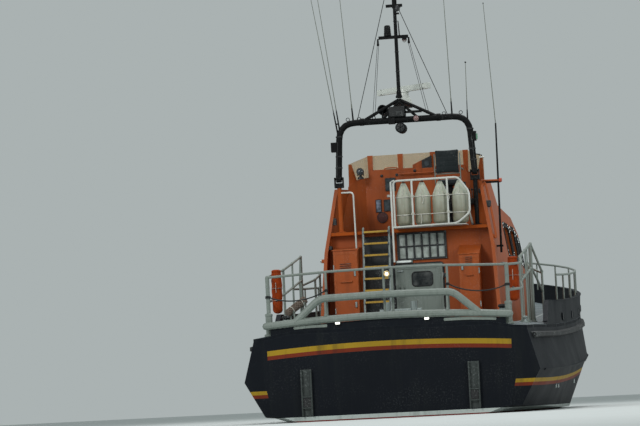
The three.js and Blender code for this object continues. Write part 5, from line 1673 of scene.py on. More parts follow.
class LIFEBOAT_OT_windows(bpy.types.Operator):
    """Fits the window gaskets, clamp frames and wipers"""

    bl_idname = "lifeboat.windows"
    bl_label = "Windows"

    def execute(self, context):
        gaskets = Sketch()
        bolts = Sketch()
        for hand in HANDS.values():
            for y0, y1, z0, z1 in SIDE_WINDOWS:
                loop = rounded_loop(y0, y1, z0, z1, 0.09)
                gaskets.sweep(
                    [(hand * (side_x(y, z) - 0.004), y, z) for y, z in loop], 0.017, 0, 8, closed=True
                )
                outer = rounded_loop(y0 - 0.045, y1 + 0.045, z0 - 0.045, z1 + 0.045, 0.13, 5)
                clamp = [(hand * (side_x(y, z) + 0.003), y, z) for y, z in outer]
                gaskets.strap(clamp, 0.05, 0.008, 1, up=(hand, 0, 0), closed=True)
                bolts.bolts(
                    [Vector(p) + Vector((hand * 0.003, 0, 0)) for p in clamp[::2]], (hand, 0, 0), 0.009,
                    0.008
                )
        slope = Vector((0, 0.7, 1)).normalized()
        for x0, x1 in FRONT_WINDOWS:
            loop = rounded_loop(x0, x1, *FRONT_WINDOW_Z, 0.08)
            gaskets.sweep([(x, front_y(z) + 0.002, z) for x, z in loop], 0.017, 0, 8, closed=True)
            outer = rounded_loop(x0 - 0.03, x1 + 0.03, 2.86, 3.43, 0.11, 5)
            clamp = [Vector((x, front_y(z), z)) + slope * 0.004 for x, z in outer]
            gaskets.strap(clamp, 0.04, 0.008, 1, up=tuple(slope), closed=True)
            bolts.bolts(clamp[::2], tuple(slope), 0.009, 0.01)
        make(gaskets, "window_gaskets", ["dark rubber", "black mast paint"])
        make(bolts, "window_bolts", ["stainless"], soften=False)
        self.wipers(slope)
        return {"FINISHED"}

    def wipers(self, slope):
        wipers = Sketch()
        for x0, x1 in FRONT_WINDOWS:
            middle = (x0 + x1) / 2

            def spot(x, z, lift):
                return Vector((x, front_y(z), z)) + slope * lift

            wipers.turned(
                [(0.03, 0.0), (0.028, 0.03), (0.014, 0.035)], spot(middle, 3.45, 0.0), tuple(slope),
                sides=14
            )
            wipers.rod(spot(middle, 3.45, 0.03), spot(middle + 0.12, 3.15, 0.03), 0.008)
            wipers.rod(spot(middle + 0.02, 3.14, 0.022), spot(middle + 0.22, 3.17, 0.022), 0.006)
            blade = [spot(middle + 0.12 + d * 0.05, 3.16 + d, 0.012) for d in (-0.2, -0.1, 0, 0.1, 0.2)]
            wipers.strap(blade, 0.012, 0.02, 1, up=tuple(slope))
        make(wipers, "wipers", ["black mast paint", "dark rubber"])


HANDRAILS = ((-4.2, -0.9, 2.62), (-0.6, 2.6, 2.56))  # aft end, forward end, height
ROOF_RAIL_YS = (-1.7, -0.9, -0.1, 0.7, 1.5, 2.1)
TALL_AERIAL = {"x": 1.632, "y": -4.4, "bar": 4.078}
WING_BOXES = [
    # side, height, width, height of the box, thickness
    (-1, 3.50, 0.10, 0.12, 0.055),
    (-1, 3.03, 0.12, 0.07, 0.055),
    (1, 3.90, 0.10, 0.08, 0.04),
]
VENTS = ((-0.75, 1.2), (0.75, 1.2), (-0.7, -1.35), (0.7, -1.35))
SEARCHLIGHT = (0, 2.05, 3.74)

class LIFEBOAT_OT_casing_fittings(bpy.types.Operator):
    """Fits handrails, vents, lamps and roof gear to the superstructure"""

    bl_idname = "lifeboat.casing_fittings"
    bl_label = "Casing fittings"

    def execute(self, context):
        self.handrails()
        self.wing_fittings()
        self.roof_gear()
        return {"FINISHED"}

    def handrails(self):
        rails = Sketch()
        for hand in HANDS.values():
            for y0, y1, z in HANDRAILS:
                ys = [y0 + (y1 - y0) * k / 4 for k in range(5)]
                line = [(hand * (side_x(y, z) + 0.075), y, z) for y in ys]
                ends = [(hand * (side_x(y, z) + 0.005), y, z) for y in (y0, y1)]
                rails.sweep(curve_through([ends[0], *line, ends[1]], 45), 0.016, 0, 10)
                for x, y, z_post in line[1:-1]:
                    rails.rod((x - hand * 0.078, y, z_post), (x, y, z_post), 0.012)
                    rails.turned([(0.03, 0), (0.026, 0.008)], (x - hand * 0.076, y, z_post), (hand, 0, 0))
        # Long rails run beside the roof's edge.
        for hand in HANDS.values():
            line = []
            for y in ROOF_RAIL_YS:
                top, top_z = roof_edge(y)
                line.append(Vector((hand * (top - 0.12), y, top_z + 0.085)))
                rails.rod(line[-1] - Vector((0, 0, 0.1)), line[-1], 0.012)
                rails.turned([(0.03, 0), (0.026, 0.01)], line[-1] - Vector((0, 0, 0.086)))
            rails.sweep(line, 0.016, 0, 10)
        make(rails, "casing_handrails", ["grey rail paint"])

    def wing_fittings(self):
        parts = Sketch()
        # Orange grab rail and a black box outside the starboard wing
        ends = [(side_x(y, z), y, z) for y, z in ((-4.66, 3.11), (-4.47, 3.98))]
        path = [
            (x + out, y, z) for (x, y, z), out in zip((ends[0], *ends, ends[1]), (-0.01, 0.05, 0.05, -0.01))
        ]
        parts.sweep(curve_through(path, 24), 0.019, 0, 12)
        y = wing_edge_y(3.66) + 0.06
        x = side_x(y, 3.66)
        parts.block((x - 0.004, y - 0.05, 3.60), (x + 0.075, y + 0.05, 3.72), 0.01, 1)
        # Bar that steadies the tall aerial
        x, y, z = TALL_AERIAL["x"], TALL_AERIAL["y"], TALL_AERIAL["bar"]
        parts.rod((side_x(y, 4.09) - 0.02, y, z + 0.007), (x, y, z), 0.018)
        cap = [(0.0, 0.0), (0.036, 0.004), (0.036, 0.05), (0.0, 0.055)]
        parts.turned(cap, (x - 0.022, y, z), STARBOARD, 2)
        parts.ball((x - 0.135, y, 7.237), 0.012, 1, 10)
        # Small black boxes inside the wings
        for hand, z, width, height, thick in WING_BOXES:
            y = wing_edge_y(z) + 0.012 + width / 2
            near, far = sorted(hand * (side_x(y, z) - 0.062 + inward) for inward in (0.004, -thick))
            parts.block(
                (near, y - width / 2, z - height / 2), (far, y + width / 2, z + height / 2), 0.008, 1
            )
        # Lug outside the port wing
        y = wing_edge_y(2.8) + 0.055
        x = -side_x(y, 2.8)
        parts.block((x - 0.05, y - 0.04, 2.77), (x + 0.006, y + 0.04, 2.835), 0.01, 0)
        parts.ring((x - 0.05, y, 2.8), AHEAD, 0.022, 0.007, 3)
        finishes = ["orange topcoat", "dark plastic", "burnt orange", "stainless"]
        make(parts, "wing_fittings", finishes)

    def roof_gear(self):
        gear = Sketch()
        # Escape hatch with dogs and a hinge
        gear.block((-0.36, -0.76, 3.70), (0.36, -0.04, 3.79), 0.02, 0)
        gear.block((-0.33, -0.73, 3.785), (0.33, -0.07, 3.81), 0.012, 1)
        for x in (-0.2, 0.2):
            gear.rod((x - 0.06, -0.045, 3.80), (x + 0.06, -0.045, 3.80), 0.016, 1)
            gear.block((x - 0.02, -0.79, 3.77), (x + 0.02, -0.72, 3.825), 0.006, 1)
        # Mushroom vents
        for x, y in VENTS:
            top, top_z = roof_edge(y)
            z = top_z + 0.03 * (1 - abs(x) / top)
            profile = [
                (0.09, -0.03), (0.085, 0.06), (0.07, 0.065), (0.07, 0.09), (0.135, 0.085), (0.14, 0.1),
                (0.11, 0.14), (0.05, 0.155), (0.0, 0.158)
            ]
            gear.turned(profile, (x, y, z))
        # Searchlight near the forward edge of the roof
        x, y, z = SEARCHLIGHT
        gear.turned([(0.05, -0.03), (0.05, 0.05), (0.03, 0.07), (0.03, 0.14)], (x, y, z - 0.24), paint=2)
        gear.turned(
            [(0.0, -0.14), (0.07, -0.13), (0.115, -0.04), (0.12, 0.05), (0.115, 0.06)], SEARCHLIGHT, AHEAD,
            2
        )
        gear.turned([(0.112, 0.052), (0.08, 0.066), (0.0, 0.075)], SEARCHLIGHT, AHEAD, 3)
        finishes = ["orange topcoat", "grey rail paint", "dark plastic", "clear lens"]
        make(gear, "roof_gear", finishes)


DOOR_HINGES = (1.85, 2.15, 2.45)
DOOR_PIN_X = 0.545
GRILLE = {"left": -0.218, "right": 0.614, "foot": 2.765, "top": 3.215, "columns": 6, "slats": 8}
LOCKERS = [
    # side, x0, x1, front height, back height, hinge x, latch x
    ("port", -1.345, -0.905, 2.965, 3.01, -1.337, -0.965),
    ("starboard", 0.876, 1.236, 2.78, 2.945, 1.228, 0.936),
]
LADDER = {
    # leans forward as it rises: y and z of its foot, z of its head, how far it leans
    "foot_y": -4.99, "foot_z": 1.5, "head_z": 3.3, "lean": 0.3,
    "left": -0.79, "right": -0.372, "treads": 8, "top_tread": 3.27, "pitch": 0.208,
}


class LIFEBOAT_OT_aft_face(bpy.types.Operator):
    """Fits the door, lockers, grille, ladder and lamp on the casing's aft face"""

    bl_idname = "lifeboat.aft_face"
    bl_label = "Aft face"

    def execute(self, context):
        self.door()
        self.grille()
        self.ladder()
        self.lockers()
        self.lamp()
        return {"FINISHED"}

    def door(self):
        frame_part = Sketch()
        loop = rounded_loop(-0.305, 0.555, 1.625, 2.68, 0.05, 5)
        frame_part.border(loop, CASING_Y - 0.004, 0.035, 0.03)
        for z in DOOR_HINGES:
            frame_part.block(
                (0.557, CASING_Y - 0.05, z - 0.035), (0.60, CASING_Y - 0.003, z + 0.035), 0.006, 0
            )
        make(frame_part, "door_frame", ["dark rubber"])
        leaf = Sketch()
        face = CASING_Y - 0.0404
        raised = rounded_loop(-0.235, 0.485, 1.70, 2.605, 0.06, 5)
        leaf.border(raised, face - 0.004, 0.03, 0.012)
        window = rounded_loop(0.0, 0.36, 2.28, 2.53, 0.06, 5)
        leaf.plate(window, 1, face - 0.006, face + 0.002, 1)
        leaf.sweep([(x, face - 0.006, z) for x, z in window], 0.011, 2, 8, closed=True)
        for z in DOOR_HINGES:
            leaf.rod((DOOR_PIN_X, face, z - 0.045), (DOOR_PIN_X, face, z + 0.045), 0.01, 3)
            leaf.block((0.44, face - 0.008, z - 0.03), (DOOR_PIN_X, face + 0.002, z + 0.03), 0.003, 0)
        for z in (1.74, 2.56):
            leaf.turned([(0.022, 0.0), (0.02, 0.02)], (-0.175, face, z), AFT, 3, 16)
            leaf.block((-0.255, face - 0.028, z - 0.012), (-0.165, face - 0.016, z + 0.012), 0.005, 3)
        leaf.turned([(0.03, 0.0), (0.028, 0.012)], (-0.175, face, 2.2), AFT, 3, 20)
        finishes = ["grey rail paint", "dark window glass", "dark rubber", "stainless"]
        make(leaf, "door_fittings", finishes, "door")

    def grille(self):
        panes = Sketch()
        x0, x1, z0, z1 = (GRILLE[key] for key in ("left", "right", "foot", "top"))
        pitch = (x1 - x0) / GRILLE["columns"]
        turn = Matrix.Rotation(radians(35), 3, "X")
        for column in range(GRILLE["columns"]):
            for foot in (z0 + 0.012, (z0 + z1) / 2 + 0.012):
                x = x0 + column * pitch + 0.016
                wide = pitch - 0.032
                panes.block(
                    (x, CASING_Y - 0.012, foot + 0.002), (x + wide, CASING_Y + 0.006, foot + 0.198), 0.003,
                    0
                )
                for k in range(GRILLE["slats"]):
                    z = foot + 0.02 + k * 0.0225
                    panes.block(
                        (x + 0.002, CASING_Y - 0.02, z - 0.0015),
                        (x + wide - 0.002, CASING_Y - 0.002, z + 0.0015), 0.001, 0, turn
                    )
        corners = [
            (x, CASING_Y - 0.036, z) for x in (x0 - 0.013, 0.198, x1 + 0.013)
            for z in (z0 - 0.009, z1 + 0.009)
        ]
        panes.bolts(corners, AFT, 0.008, 0.006, 1)
        make(panes, "grille_panes", ["pale grille pane", "stainless"])

    def ladder(self):
        edges = Sketch()
        x0, x1 = LADDER["left"], LADDER["right"]
        for k in range(LADDER["treads"]):
            z = LADDER["top_tread"] - k * LADDER["pitch"]
            share = (z - LADDER["foot_z"]) / (LADDER["head_z"] - LADDER["foot_z"])
            y = LADDER["foot_y"] + share * LADDER["lean"]
            edges.block((x0, y - 0.078, z - 0.016), (x1, y - 0.066, z + 0.017), 0.003, 0)
            edges.block((x0, y - 0.066, z + 0.0142), (x1, y - 0.035, z + 0.019), 0.002, 0)
            for row in range(3):
                near = y - 0.024 + row * 0.018
                edges.block((x0 + 0.01, near, z + 0.0142), (x1 - 0.01, near + 0.01, z + 0.018), 0.001, 1)
        for x in (-0.812, -0.35):
            edges.sweep(
                curve_through([(x, -4.70, 3.28), (x, -4.69, 3.33), (x, -4.66, 3.345)], 9), 0.02, 2, 12
            )
        edges.block((-0.84, CASING_Y - 0.016, 1.66), (-0.325, CASING_Y - 0.003, 3.2), 0.004, 3)
        finishes = ["yellow edging", "dark rubber", "grey rail paint", "dark plastic"]
        make(edges, "ladder_treads", finishes)

    def lockers(self):
        for side, x0, x1, front, back, hinge_x, latch_x in LOCKERS:
            wall = CASING_Y - 0.0004
            face = wall - 0.388
            trim = Sketch()
            loop = rounded_loop(x0 + 0.03, x1 - 0.03, 1.675, front - 0.055, 0.03, 4)
            trim.border(loop, face - 0.002, 0.02, 0.008)
            for z in (1.9, front - 0.3):
                trim.rod((hinge_x, face - 0.004, z - 0.05), (hinge_x, face - 0.004, z + 0.05), 0.011, 1)
            for z in (2.0, 2.55):
                trim.block(
                    (latch_x - 0.018, face - 0.026, z - 0.05), (latch_x + 0.018, face + 0.002, z + 0.05),
                    0.006, 1
                )
                trim.ring((latch_x, face - 0.022, z + 0.01), AHEAD, 0.012, 0.004, 1)
            for k in range(4):
                z = 2.62 + 0.035 * k
                trim.block(
                    (x0 + 0.12, face - 0.012, z - 0.006), (x1 - 0.12, face + 0.002, z + 0.006), 0.004, 2
                )
            make(
                trim, "locker_trim_" + side, ["orange topcoat", "stainless", "dark plastic"],
                "lid_" + side
            )
            cap = Sketch()
            cap.plate(
                [
                    (wall - 0.004, back + 0.001), (wall - 0.004, back + 0.016),
                    (wall - 0.37, front + 0.017), (wall - 0.378, front + 0.001)
                ],
                0, x0 - 0.012, x1 + 0.012,
            )
            make(cap, "locker_cap_" + side, ["orange topcoat"])

    def lamp(self):
        lamp = Sketch()
        y = CASING_Y
        lamp.block((-0.285, y - 0.035, 2.70), (0.022, y - 0.002, 2.75), 0.01, 0)
        lamp.block((-0.262, y - 0.058, 2.706), (-0.001, y - 0.03, 2.744), 0.012, 1)
        lamp.block((0.2, y - 0.03, 3.225), (0.32, y, 3.238), 0.004, 0)
        make(lamp, "door_lamp", ["grey rail paint", "lamp bar"])


CONSOLE_Y = -3.06
CONSOLE_PANELS = [
    # x0, x1, z0, z1, screen
    (-0.586, -0.424, 4.12, 4.332, 2),
    (-0.78, -0.70, 3.74, 3.95, 1),
    (-0.63, -0.53, 3.75, 3.94, 2),
    (0.42, 0.62, 4.02, 4.18, 1),
    (0.68, 0.86, 4.02, 4.18, 2),
]
HOOP_HANDLE = [
    # x, height
    (-0.611, 4.475), (-0.606, 4.512), (-0.56, 4.532), (-0.41, 4.532), (-0.367, 4.512), (-0.362, 4.475),
]
CONSOLE_EYES = ((-0.659, 4.391), (-0.38, 4.394), (-0.047, 4.45))

class LIFEBOAT_OT_cockpit(bpy.types.Operator):
    """Fits the steering console, displays and the gear on the coaming"""

    bl_idname = "lifeboat.cockpit"
    bl_label = "Cockpit"

    def execute(self, context):
        face = CONSOLE_Y
        parts = Sketch()
        for x0, x1, z0, z1, screen in CONSOLE_PANELS:
            parts.block(
                (x0 - 0.014, face - 0.022, z0 - 0.014), (x1 + 0.014, face - 0.001, z1 + 0.014), 0.006, 0
            )
            parts.block((x0, face - 0.028, z0), (x1, face - 0.02, z1), 0.003, screen)
        parts.turned(
            [(0.0, 0.0), (0.1, 0.002), (0.1, 0.012), (0.088, 0.02), (0.0, 0.02)], (-0.68, face, 3.63), AFT,
            3
        )
        parts.ring((-0.68, face - 0.018, 3.63), AHEAD, 0.094, 0.006, 0)
        for k in range(6):
            parts.turned(
                [(0.014, 0.0), (0.012, 0.016), (0.0, 0.018)], (0.36 + k * 0.055, face, 3.92), AFT, 0, 12
            )
        parts.block((-0.575, face - 0.012, 3.995), (-0.49, face - 0.001, 4.04), 0.004, 4)
        for x, z in CONSOLE_EYES:
            parts.turned(
                [(0.028, 0.0), (0.026, 0.012), (0.016, 0.02), (0.0, 0.021)], (x, face, z), AFT, 0, 20
            )
        finishes = ["dark plastic", "blue display", "dark display", "maroon shadow", "white enamel"]
        make(parts, "console_displays", finishes)
        self.wheel(face)
        self.coaming_gear()
        return {"FINISHED"}

    def wheel(self, face):
        helm = Sketch()
        hub = Vector((HELM["x"], face - 0.2, 3.86))
        helm.turned(
            [
                (0.075, 0.0), (0.07, 0.02), (0.05, 0.03), (0.035, 0.19), (0.045, 0.2), (0.045, 0.225),
                (0.0, 0.235)
            ],
            (hub.x, face, hub.z), AFT
        )
        helm.ring(hub, AHEAD, 0.2, 0.016, 1, around=48, sides=12)
        for k in range(3):
            a = pi * (0.5 + k * 2 / 3)
            tip = hub + Vector((0.19 * cos(a), 0, 0.19 * sin(a)))
            helm.rod(hub + Vector((0, -0.005, 0)), tip, 0.011, 2, 10)
        for x in (0.94, 1.0):
            helm.rod((x, face - 0.12, 3.86), (x, face - 0.16, 4.02), 0.009, 2, 10)
            helm.ball((x, face - 0.16, 4.03), 0.022, 1, 14)
        helm.block((0.9, face - 0.2, 3.76), (1.04, face + 0.14, 3.87), 0.02, 0)
        make(helm, "helm_wheel", ["dark plastic", "dark rubber", "stainless"])

    def coaming_gear(self):
        gear = Sketch()
        # Hoop handle
        hoop = [(x, CONSOLE_Y + 0.03, z) for x, z in HOOP_HANDLE]
        gear.sweep(curve_through(hoop, 26), 0.011, 0, 10)
        # Orange wedge beside a dark plate, painted shade that stands for the hood's shaded side
        back, front = CONSOLE_Y + 0.062, CONSOLE_Y + 0.005
        wedge = [(-0.084, 4.488), (0.086, 4.488), (0.086, 4.638), (-0.084, 4.562)]
        gear.plate(wedge, 1, front + 0.01, back)
        gear.plate([(0.09, 4.488), (0.267, 4.488), (0.267, 4.712), (0.09, 4.638)], 1, front, back, 1)
        gear.turned([(0.0, 0.0), (0.05, 0.002), (0.05, 0.012), (0.0, 0.014)], (0.18, front, 4.57), AFT, 2)
        # Black searchlight head on the sloping port end
        gear.turned(
            [(0.06, -0.02), (0.05, 0.02), (0.025, 0.03), (0.025, 0.08)], (-1.02, -3.25, 4.36), paint=1
        )
        gear.turned(
            [(0.0, -0.07), (0.045, -0.065), (0.064, -0.02), (0.068, 0.055), (0.06, 0.062)],
            (-1.02, -3.25, 4.475), AFT, 1
        )
        gear.turned([(0.058, 0.056), (0.03, 0.07), (0.0, 0.074)], (-1.02, -3.25, 4.475), AFT, 2)
        for x in (-1.07, -0.97):
            gear.block((x - 0.008, -3.28, 4.4), (x + 0.008, -3.22, 4.5), 0.003, 1)
        # Grab rail along the coaming's aft lip
        line = [(-0.30, -3.10, 4.40), (-0.28, -3.12, 4.40), (0.28, -3.12, 4.40), (0.30, -3.10, 4.40)]
        gear.sweep(line, 0.012, 0, 10)
        for x in (-0.3, 0.3):
            gear.rod((x, -3.062, 4.40), (x, -3.105, 4.40), 0.012, 0, 10)
        finishes = ["orange topcoat", "dark plastic", "dark display"]
        make(gear, "coaming_gear", finishes)


# Mast

MAST_X = -0.063
RADAR = (-0.07, -3.87, 5.86)
HALYARDS = [
    # top x, top z, foot x, foot z
    (-0.391, 6.597, -0.532, 5.30),
    (0.162, 6.609, 0.432, 5.344),
]
SIDE_LIGHTS = [
    # x, half breadth, height, lens
    (-1.245, 0.078, 4.815, 3),
    (1.219, 0.052, 4.862, 4),
]
FLOODLIGHT = (-0.045, -4.75, 5.085)
BEAM_LAMP = (0.235, -4.695, 5.235)
STRUT_CLAMPS = ((-0.748, 5.24), (0.622, 5.24))  # x, height
LEG_CLAMP_ZS = (4.45, 4.65, 5.0)
POLE_RING_ZS = (6.1, 6.45, 7.0)
BEAM_EYE_XS = (-1.0, -0.80, 0.72, 1.02)
DOME = (-0.211, 6.912)  # x, height of its cap


class LIFEBOAT_OT_mast_fittings(bpy.types.Operator):
    """Rigs the halyards, lamps, lenses and insulators of the mast and arch"""

    bl_idname = "lifeboat.mast_fittings"
    bl_label = "Mast fittings"

    def execute(self, context):
        thick = context.scene.lifeboat_sizes.halyard_diameter / 2
        y = ARCH_Y
        lines = Sketch()
        for top_x, top_z, foot_x, foot_z in HALYARDS:
            for shift in (-0.02, 0.02):
                lines.rod((top_x + shift * 0.6, y, top_z), (foot_x + shift, y, foot_z), thick, 0, 6)
            lines.rod((top_x, y, 6.70), (top_x, y, top_z), 0.014, 1, 8, tip=0.02)
            lines.ball((top_x, y, top_z), 0.024, 1, 10)
            lines.ring((foot_x, y, foot_z), AHEAD, 0.028, 0.006, 1)
        make(lines, "halyards", ["dark rubber", "black mast paint"], "mast")
        self.lamps(y)
        self.arch_details(y)
        self.radar()
        return {"FINISHED"}

    def lamps(self, y):
        lamps = Sketch()
        # Floodlight under the beam
        lamps.ring(FLOODLIGHT, AHEAD, 0.084, 0.009, 0, around=36)
        lamps.turned([(0.078, 0.0), (0.07, 0.012), (0.0, 0.02)], FLOODLIGHT, AFT, 5)
        for turn in (0.5, 1.57, 2.64):
            reach = Vector((cos(turn), 0, sin(turn))) * 0.08
            centre = Vector(FLOODLIGHT) + Vector(AFT) * 0.022
            lamps.rod(centre - reach, centre + reach, 0.004, 0, 6)
        # Orange-red lamp on the beam
        lamps.turned([(0.05, 0.0), (0.049, 0.02), (0.036, 0.036), (0.0, 0.042)], BEAM_LAMP, AFT, 2)
        lamps.ring(Vector(BEAM_LAMP) + Vector(AFT) * 0.005, AHEAD, 0.05, 0.006, 0)
        # Small lamp with a red ring under the lower crosstree
        lamps.turned([(0.036, 0.0), (0.03, -0.03), (0.0, -0.04)], (0.085, y, 6.65), UP, 1)
        lamps.ring((0.085, y, 6.648), UP, 0.036, 0.007, 2)
        # Side lights
        for x, half, z, lens in SIDE_LIGHTS:
            middle = x + copysign(0.022, x)
            lamps.turned([(0.05, -0.05), (0.05, 0.05)], (middle, y + 0.055, z), UP, lens, 20)
            lamps.block((x - half, y - 0.045, z + 0.078), (x + half, y + 0.09, z + 0.09), 0.003, 0)
        finishes = [
            "black mast paint", "clear lens", "orange lens", "port red lens", "starboard green lens",
            "dark plastic"
        ]
        make(lamps, "mast_lamps", finishes, "mast")

    def arch_details(self, y):
        parts = Sketch()
        # Clamps where the struts, legs and aerials meet the arch
        for x, z in STRUT_CLAMPS:
            parts.rod((x - 0.035, y, z), (x + 0.035, y, z), 0.066, 0, 20)
        for hand in HANDS.values():
            for z in LEG_CLAMP_ZS:
                x = hand * (1.212 - 0.057 * (z - 4.25) / 0.985)
                parts.rod((x, y, z - 0.012), (x, y, z + 0.012), 0.063, 1, 20)
            cable = [
                (hand * 1.23, y - 0.062, 4.3), (hand * 1.212, y - 0.064, 4.6),
                (hand * 1.192, y - 0.064, 4.9)
            ]
            parts.sweep(curve_through(cable, 12), 0.009, 1, 8)
        # Ribbed dome, its cap and the masthead lamp
        for k in range(5):
            parts.ring((DOME[0], y, DOME[1] - 0.152 + k * 0.034), UP, 0.064 - 0.0024 * k, 0.004, 1)
        parts.turned([(0.053, 0.0), (0.044, 0.018), (0.0, 0.026)], (DOME[0], y, DOME[1]))
        parts.rod((0.0, y, 6.74), (-0.012, y, 7.0), 0.013, 2, 8, tip=0.009)
        parts.turned(
            [(0.04, 0.0), (0.048, 0.012), (0.048, 0.078), (0.036, 0.09)], (-0.01, y - 0.05, 7.175), paint=2,
            sides=16
        )
        for z in POLE_RING_ZS:
            parts.ring((MAST_X, y, z), UP, 0.035, 0.006, 1)
        parts.turned([(0.06, 0.0), (0.06, 0.03), (0.045, 0.05), (0.04, 0.12)], (MAST_X, y, 5.63), sides=20)
        # Loudhailer mouth and small eyes on the beam
        mouth = [(0.084, 0.0), (0.092, -0.012), (0.088, -0.02), (0.05, 0.03), (0.0, 0.04)]
        parts.turned(mouth, (-0.376, y + 0.04, 5.44), AHEAD, 2)
        for x in BEAM_EYE_XS:
            parts.ring((x, y, 5.30), AHEAD, 0.03, 0.006, 1)
        parts.block((-0.25, y - 0.1, 5.29), (0.03, y + 0.04, 5.47), 0.012, 1)
        # Ball on the short aerial, and a lamp on an arm outside the starboard leg
        parts.ball((1.147, y, 6.18), 0.017, 1, 12)
        parts.rod((1.20, y, 4.556), (1.33, y, 4.53), 0.01, 0, 10)
        parts.ball((1.31, y, 4.53), 0.015, 0, 10)
        parts.rod((1.345, y, 4.53), (1.345, y, 4.49), 0.008, 0, 8)
        parts.block((1.30, y - 0.03, 4.475), (1.395, y + 0.03, 4.495), 0.004, 3)
        finishes = ["black mast paint", "dark rubber", "dark plastic", "white enamel"]
        make(parts, "arch_details", finishes, "mast")

    def radar(self):
        base = Sketch()
        z = 5.56
        x, middle_y = RADAR[:2]
        base.block((x - 0.15, middle_y - 0.15, z), (x + 0.15, middle_y + 0.15, z + 0.03), 0.01, 0)
        housing = [(0.14, 0.03), (0.14, 0.08), (0.11, 0.13), (0.09, 0.19), (0.085, 0.242)]
        base.turned(housing, (x, middle_y, z), sides=32)
        corners = [(x + dx, middle_y + dy, z + 0.03) for dx, dy in product((-0.12, 0.12), repeat=2)]
        base.bolts(corners, UP, 0.012, 0.01, 1)
        make(base, "radar_gearbox", ["radar plastic", "stainless"], "mast")
        bar = Sketch()
        turn = Matrix.Rotation(radians(-35), 3, "Z")
        centre = Vector(RADAR)

        def spot(u, v, w):
            return centre + turn @ Vector((u, v, w))

        for hand in (-1, 1):
            low, high = sorted((hand * 0.605, hand * 0.617))
            shape = Sketch()
            shape.block((low, -0.047, -0.052), (high, 0.047, 0.052), 0.004)
            bar.add([spot(*p) for p in shape.points], shape.faces, 0)
            shape = Sketch()
            low, high = sorted((hand * 0.5, hand * 0.52))
            shape.block((low, -0.0465, -0.0515), (high, 0.0465, 0.0515), 0.002)
            bar.add([spot(*p) for p in shape.points], shape.faces, 1)
        shape = Sketch()
        shape.block((-0.58, -0.049, -0.03), (0.58, -0.044, 0.03), 0.002)
        bar.add([spot(*p) for p in shape.points], shape.faces, 0)
        bar.turned([(0.1, -0.06), (0.1, -0.052), (0.07, -0.03), (0.066, 0.0)], centre, sides=28)
        make(bar, "radar_bar_trim", ["radar plastic", "dark rubber"], "radar")


# Foredeck and hull


ANCHOR_X = 0.62
WINDLASS_Y = 6.25
ROLLER_Y = 8.2
CAP_YS = (-5.35, -4.85, -4.2, -3, -2, -1, 0, 1, 2, 3, 4, 5, 5.8, 6.5, 7.2, 7.7, 8.1)
FREEING_PORT_YS = (-2.6, -0.6, 1.4, 3.2)

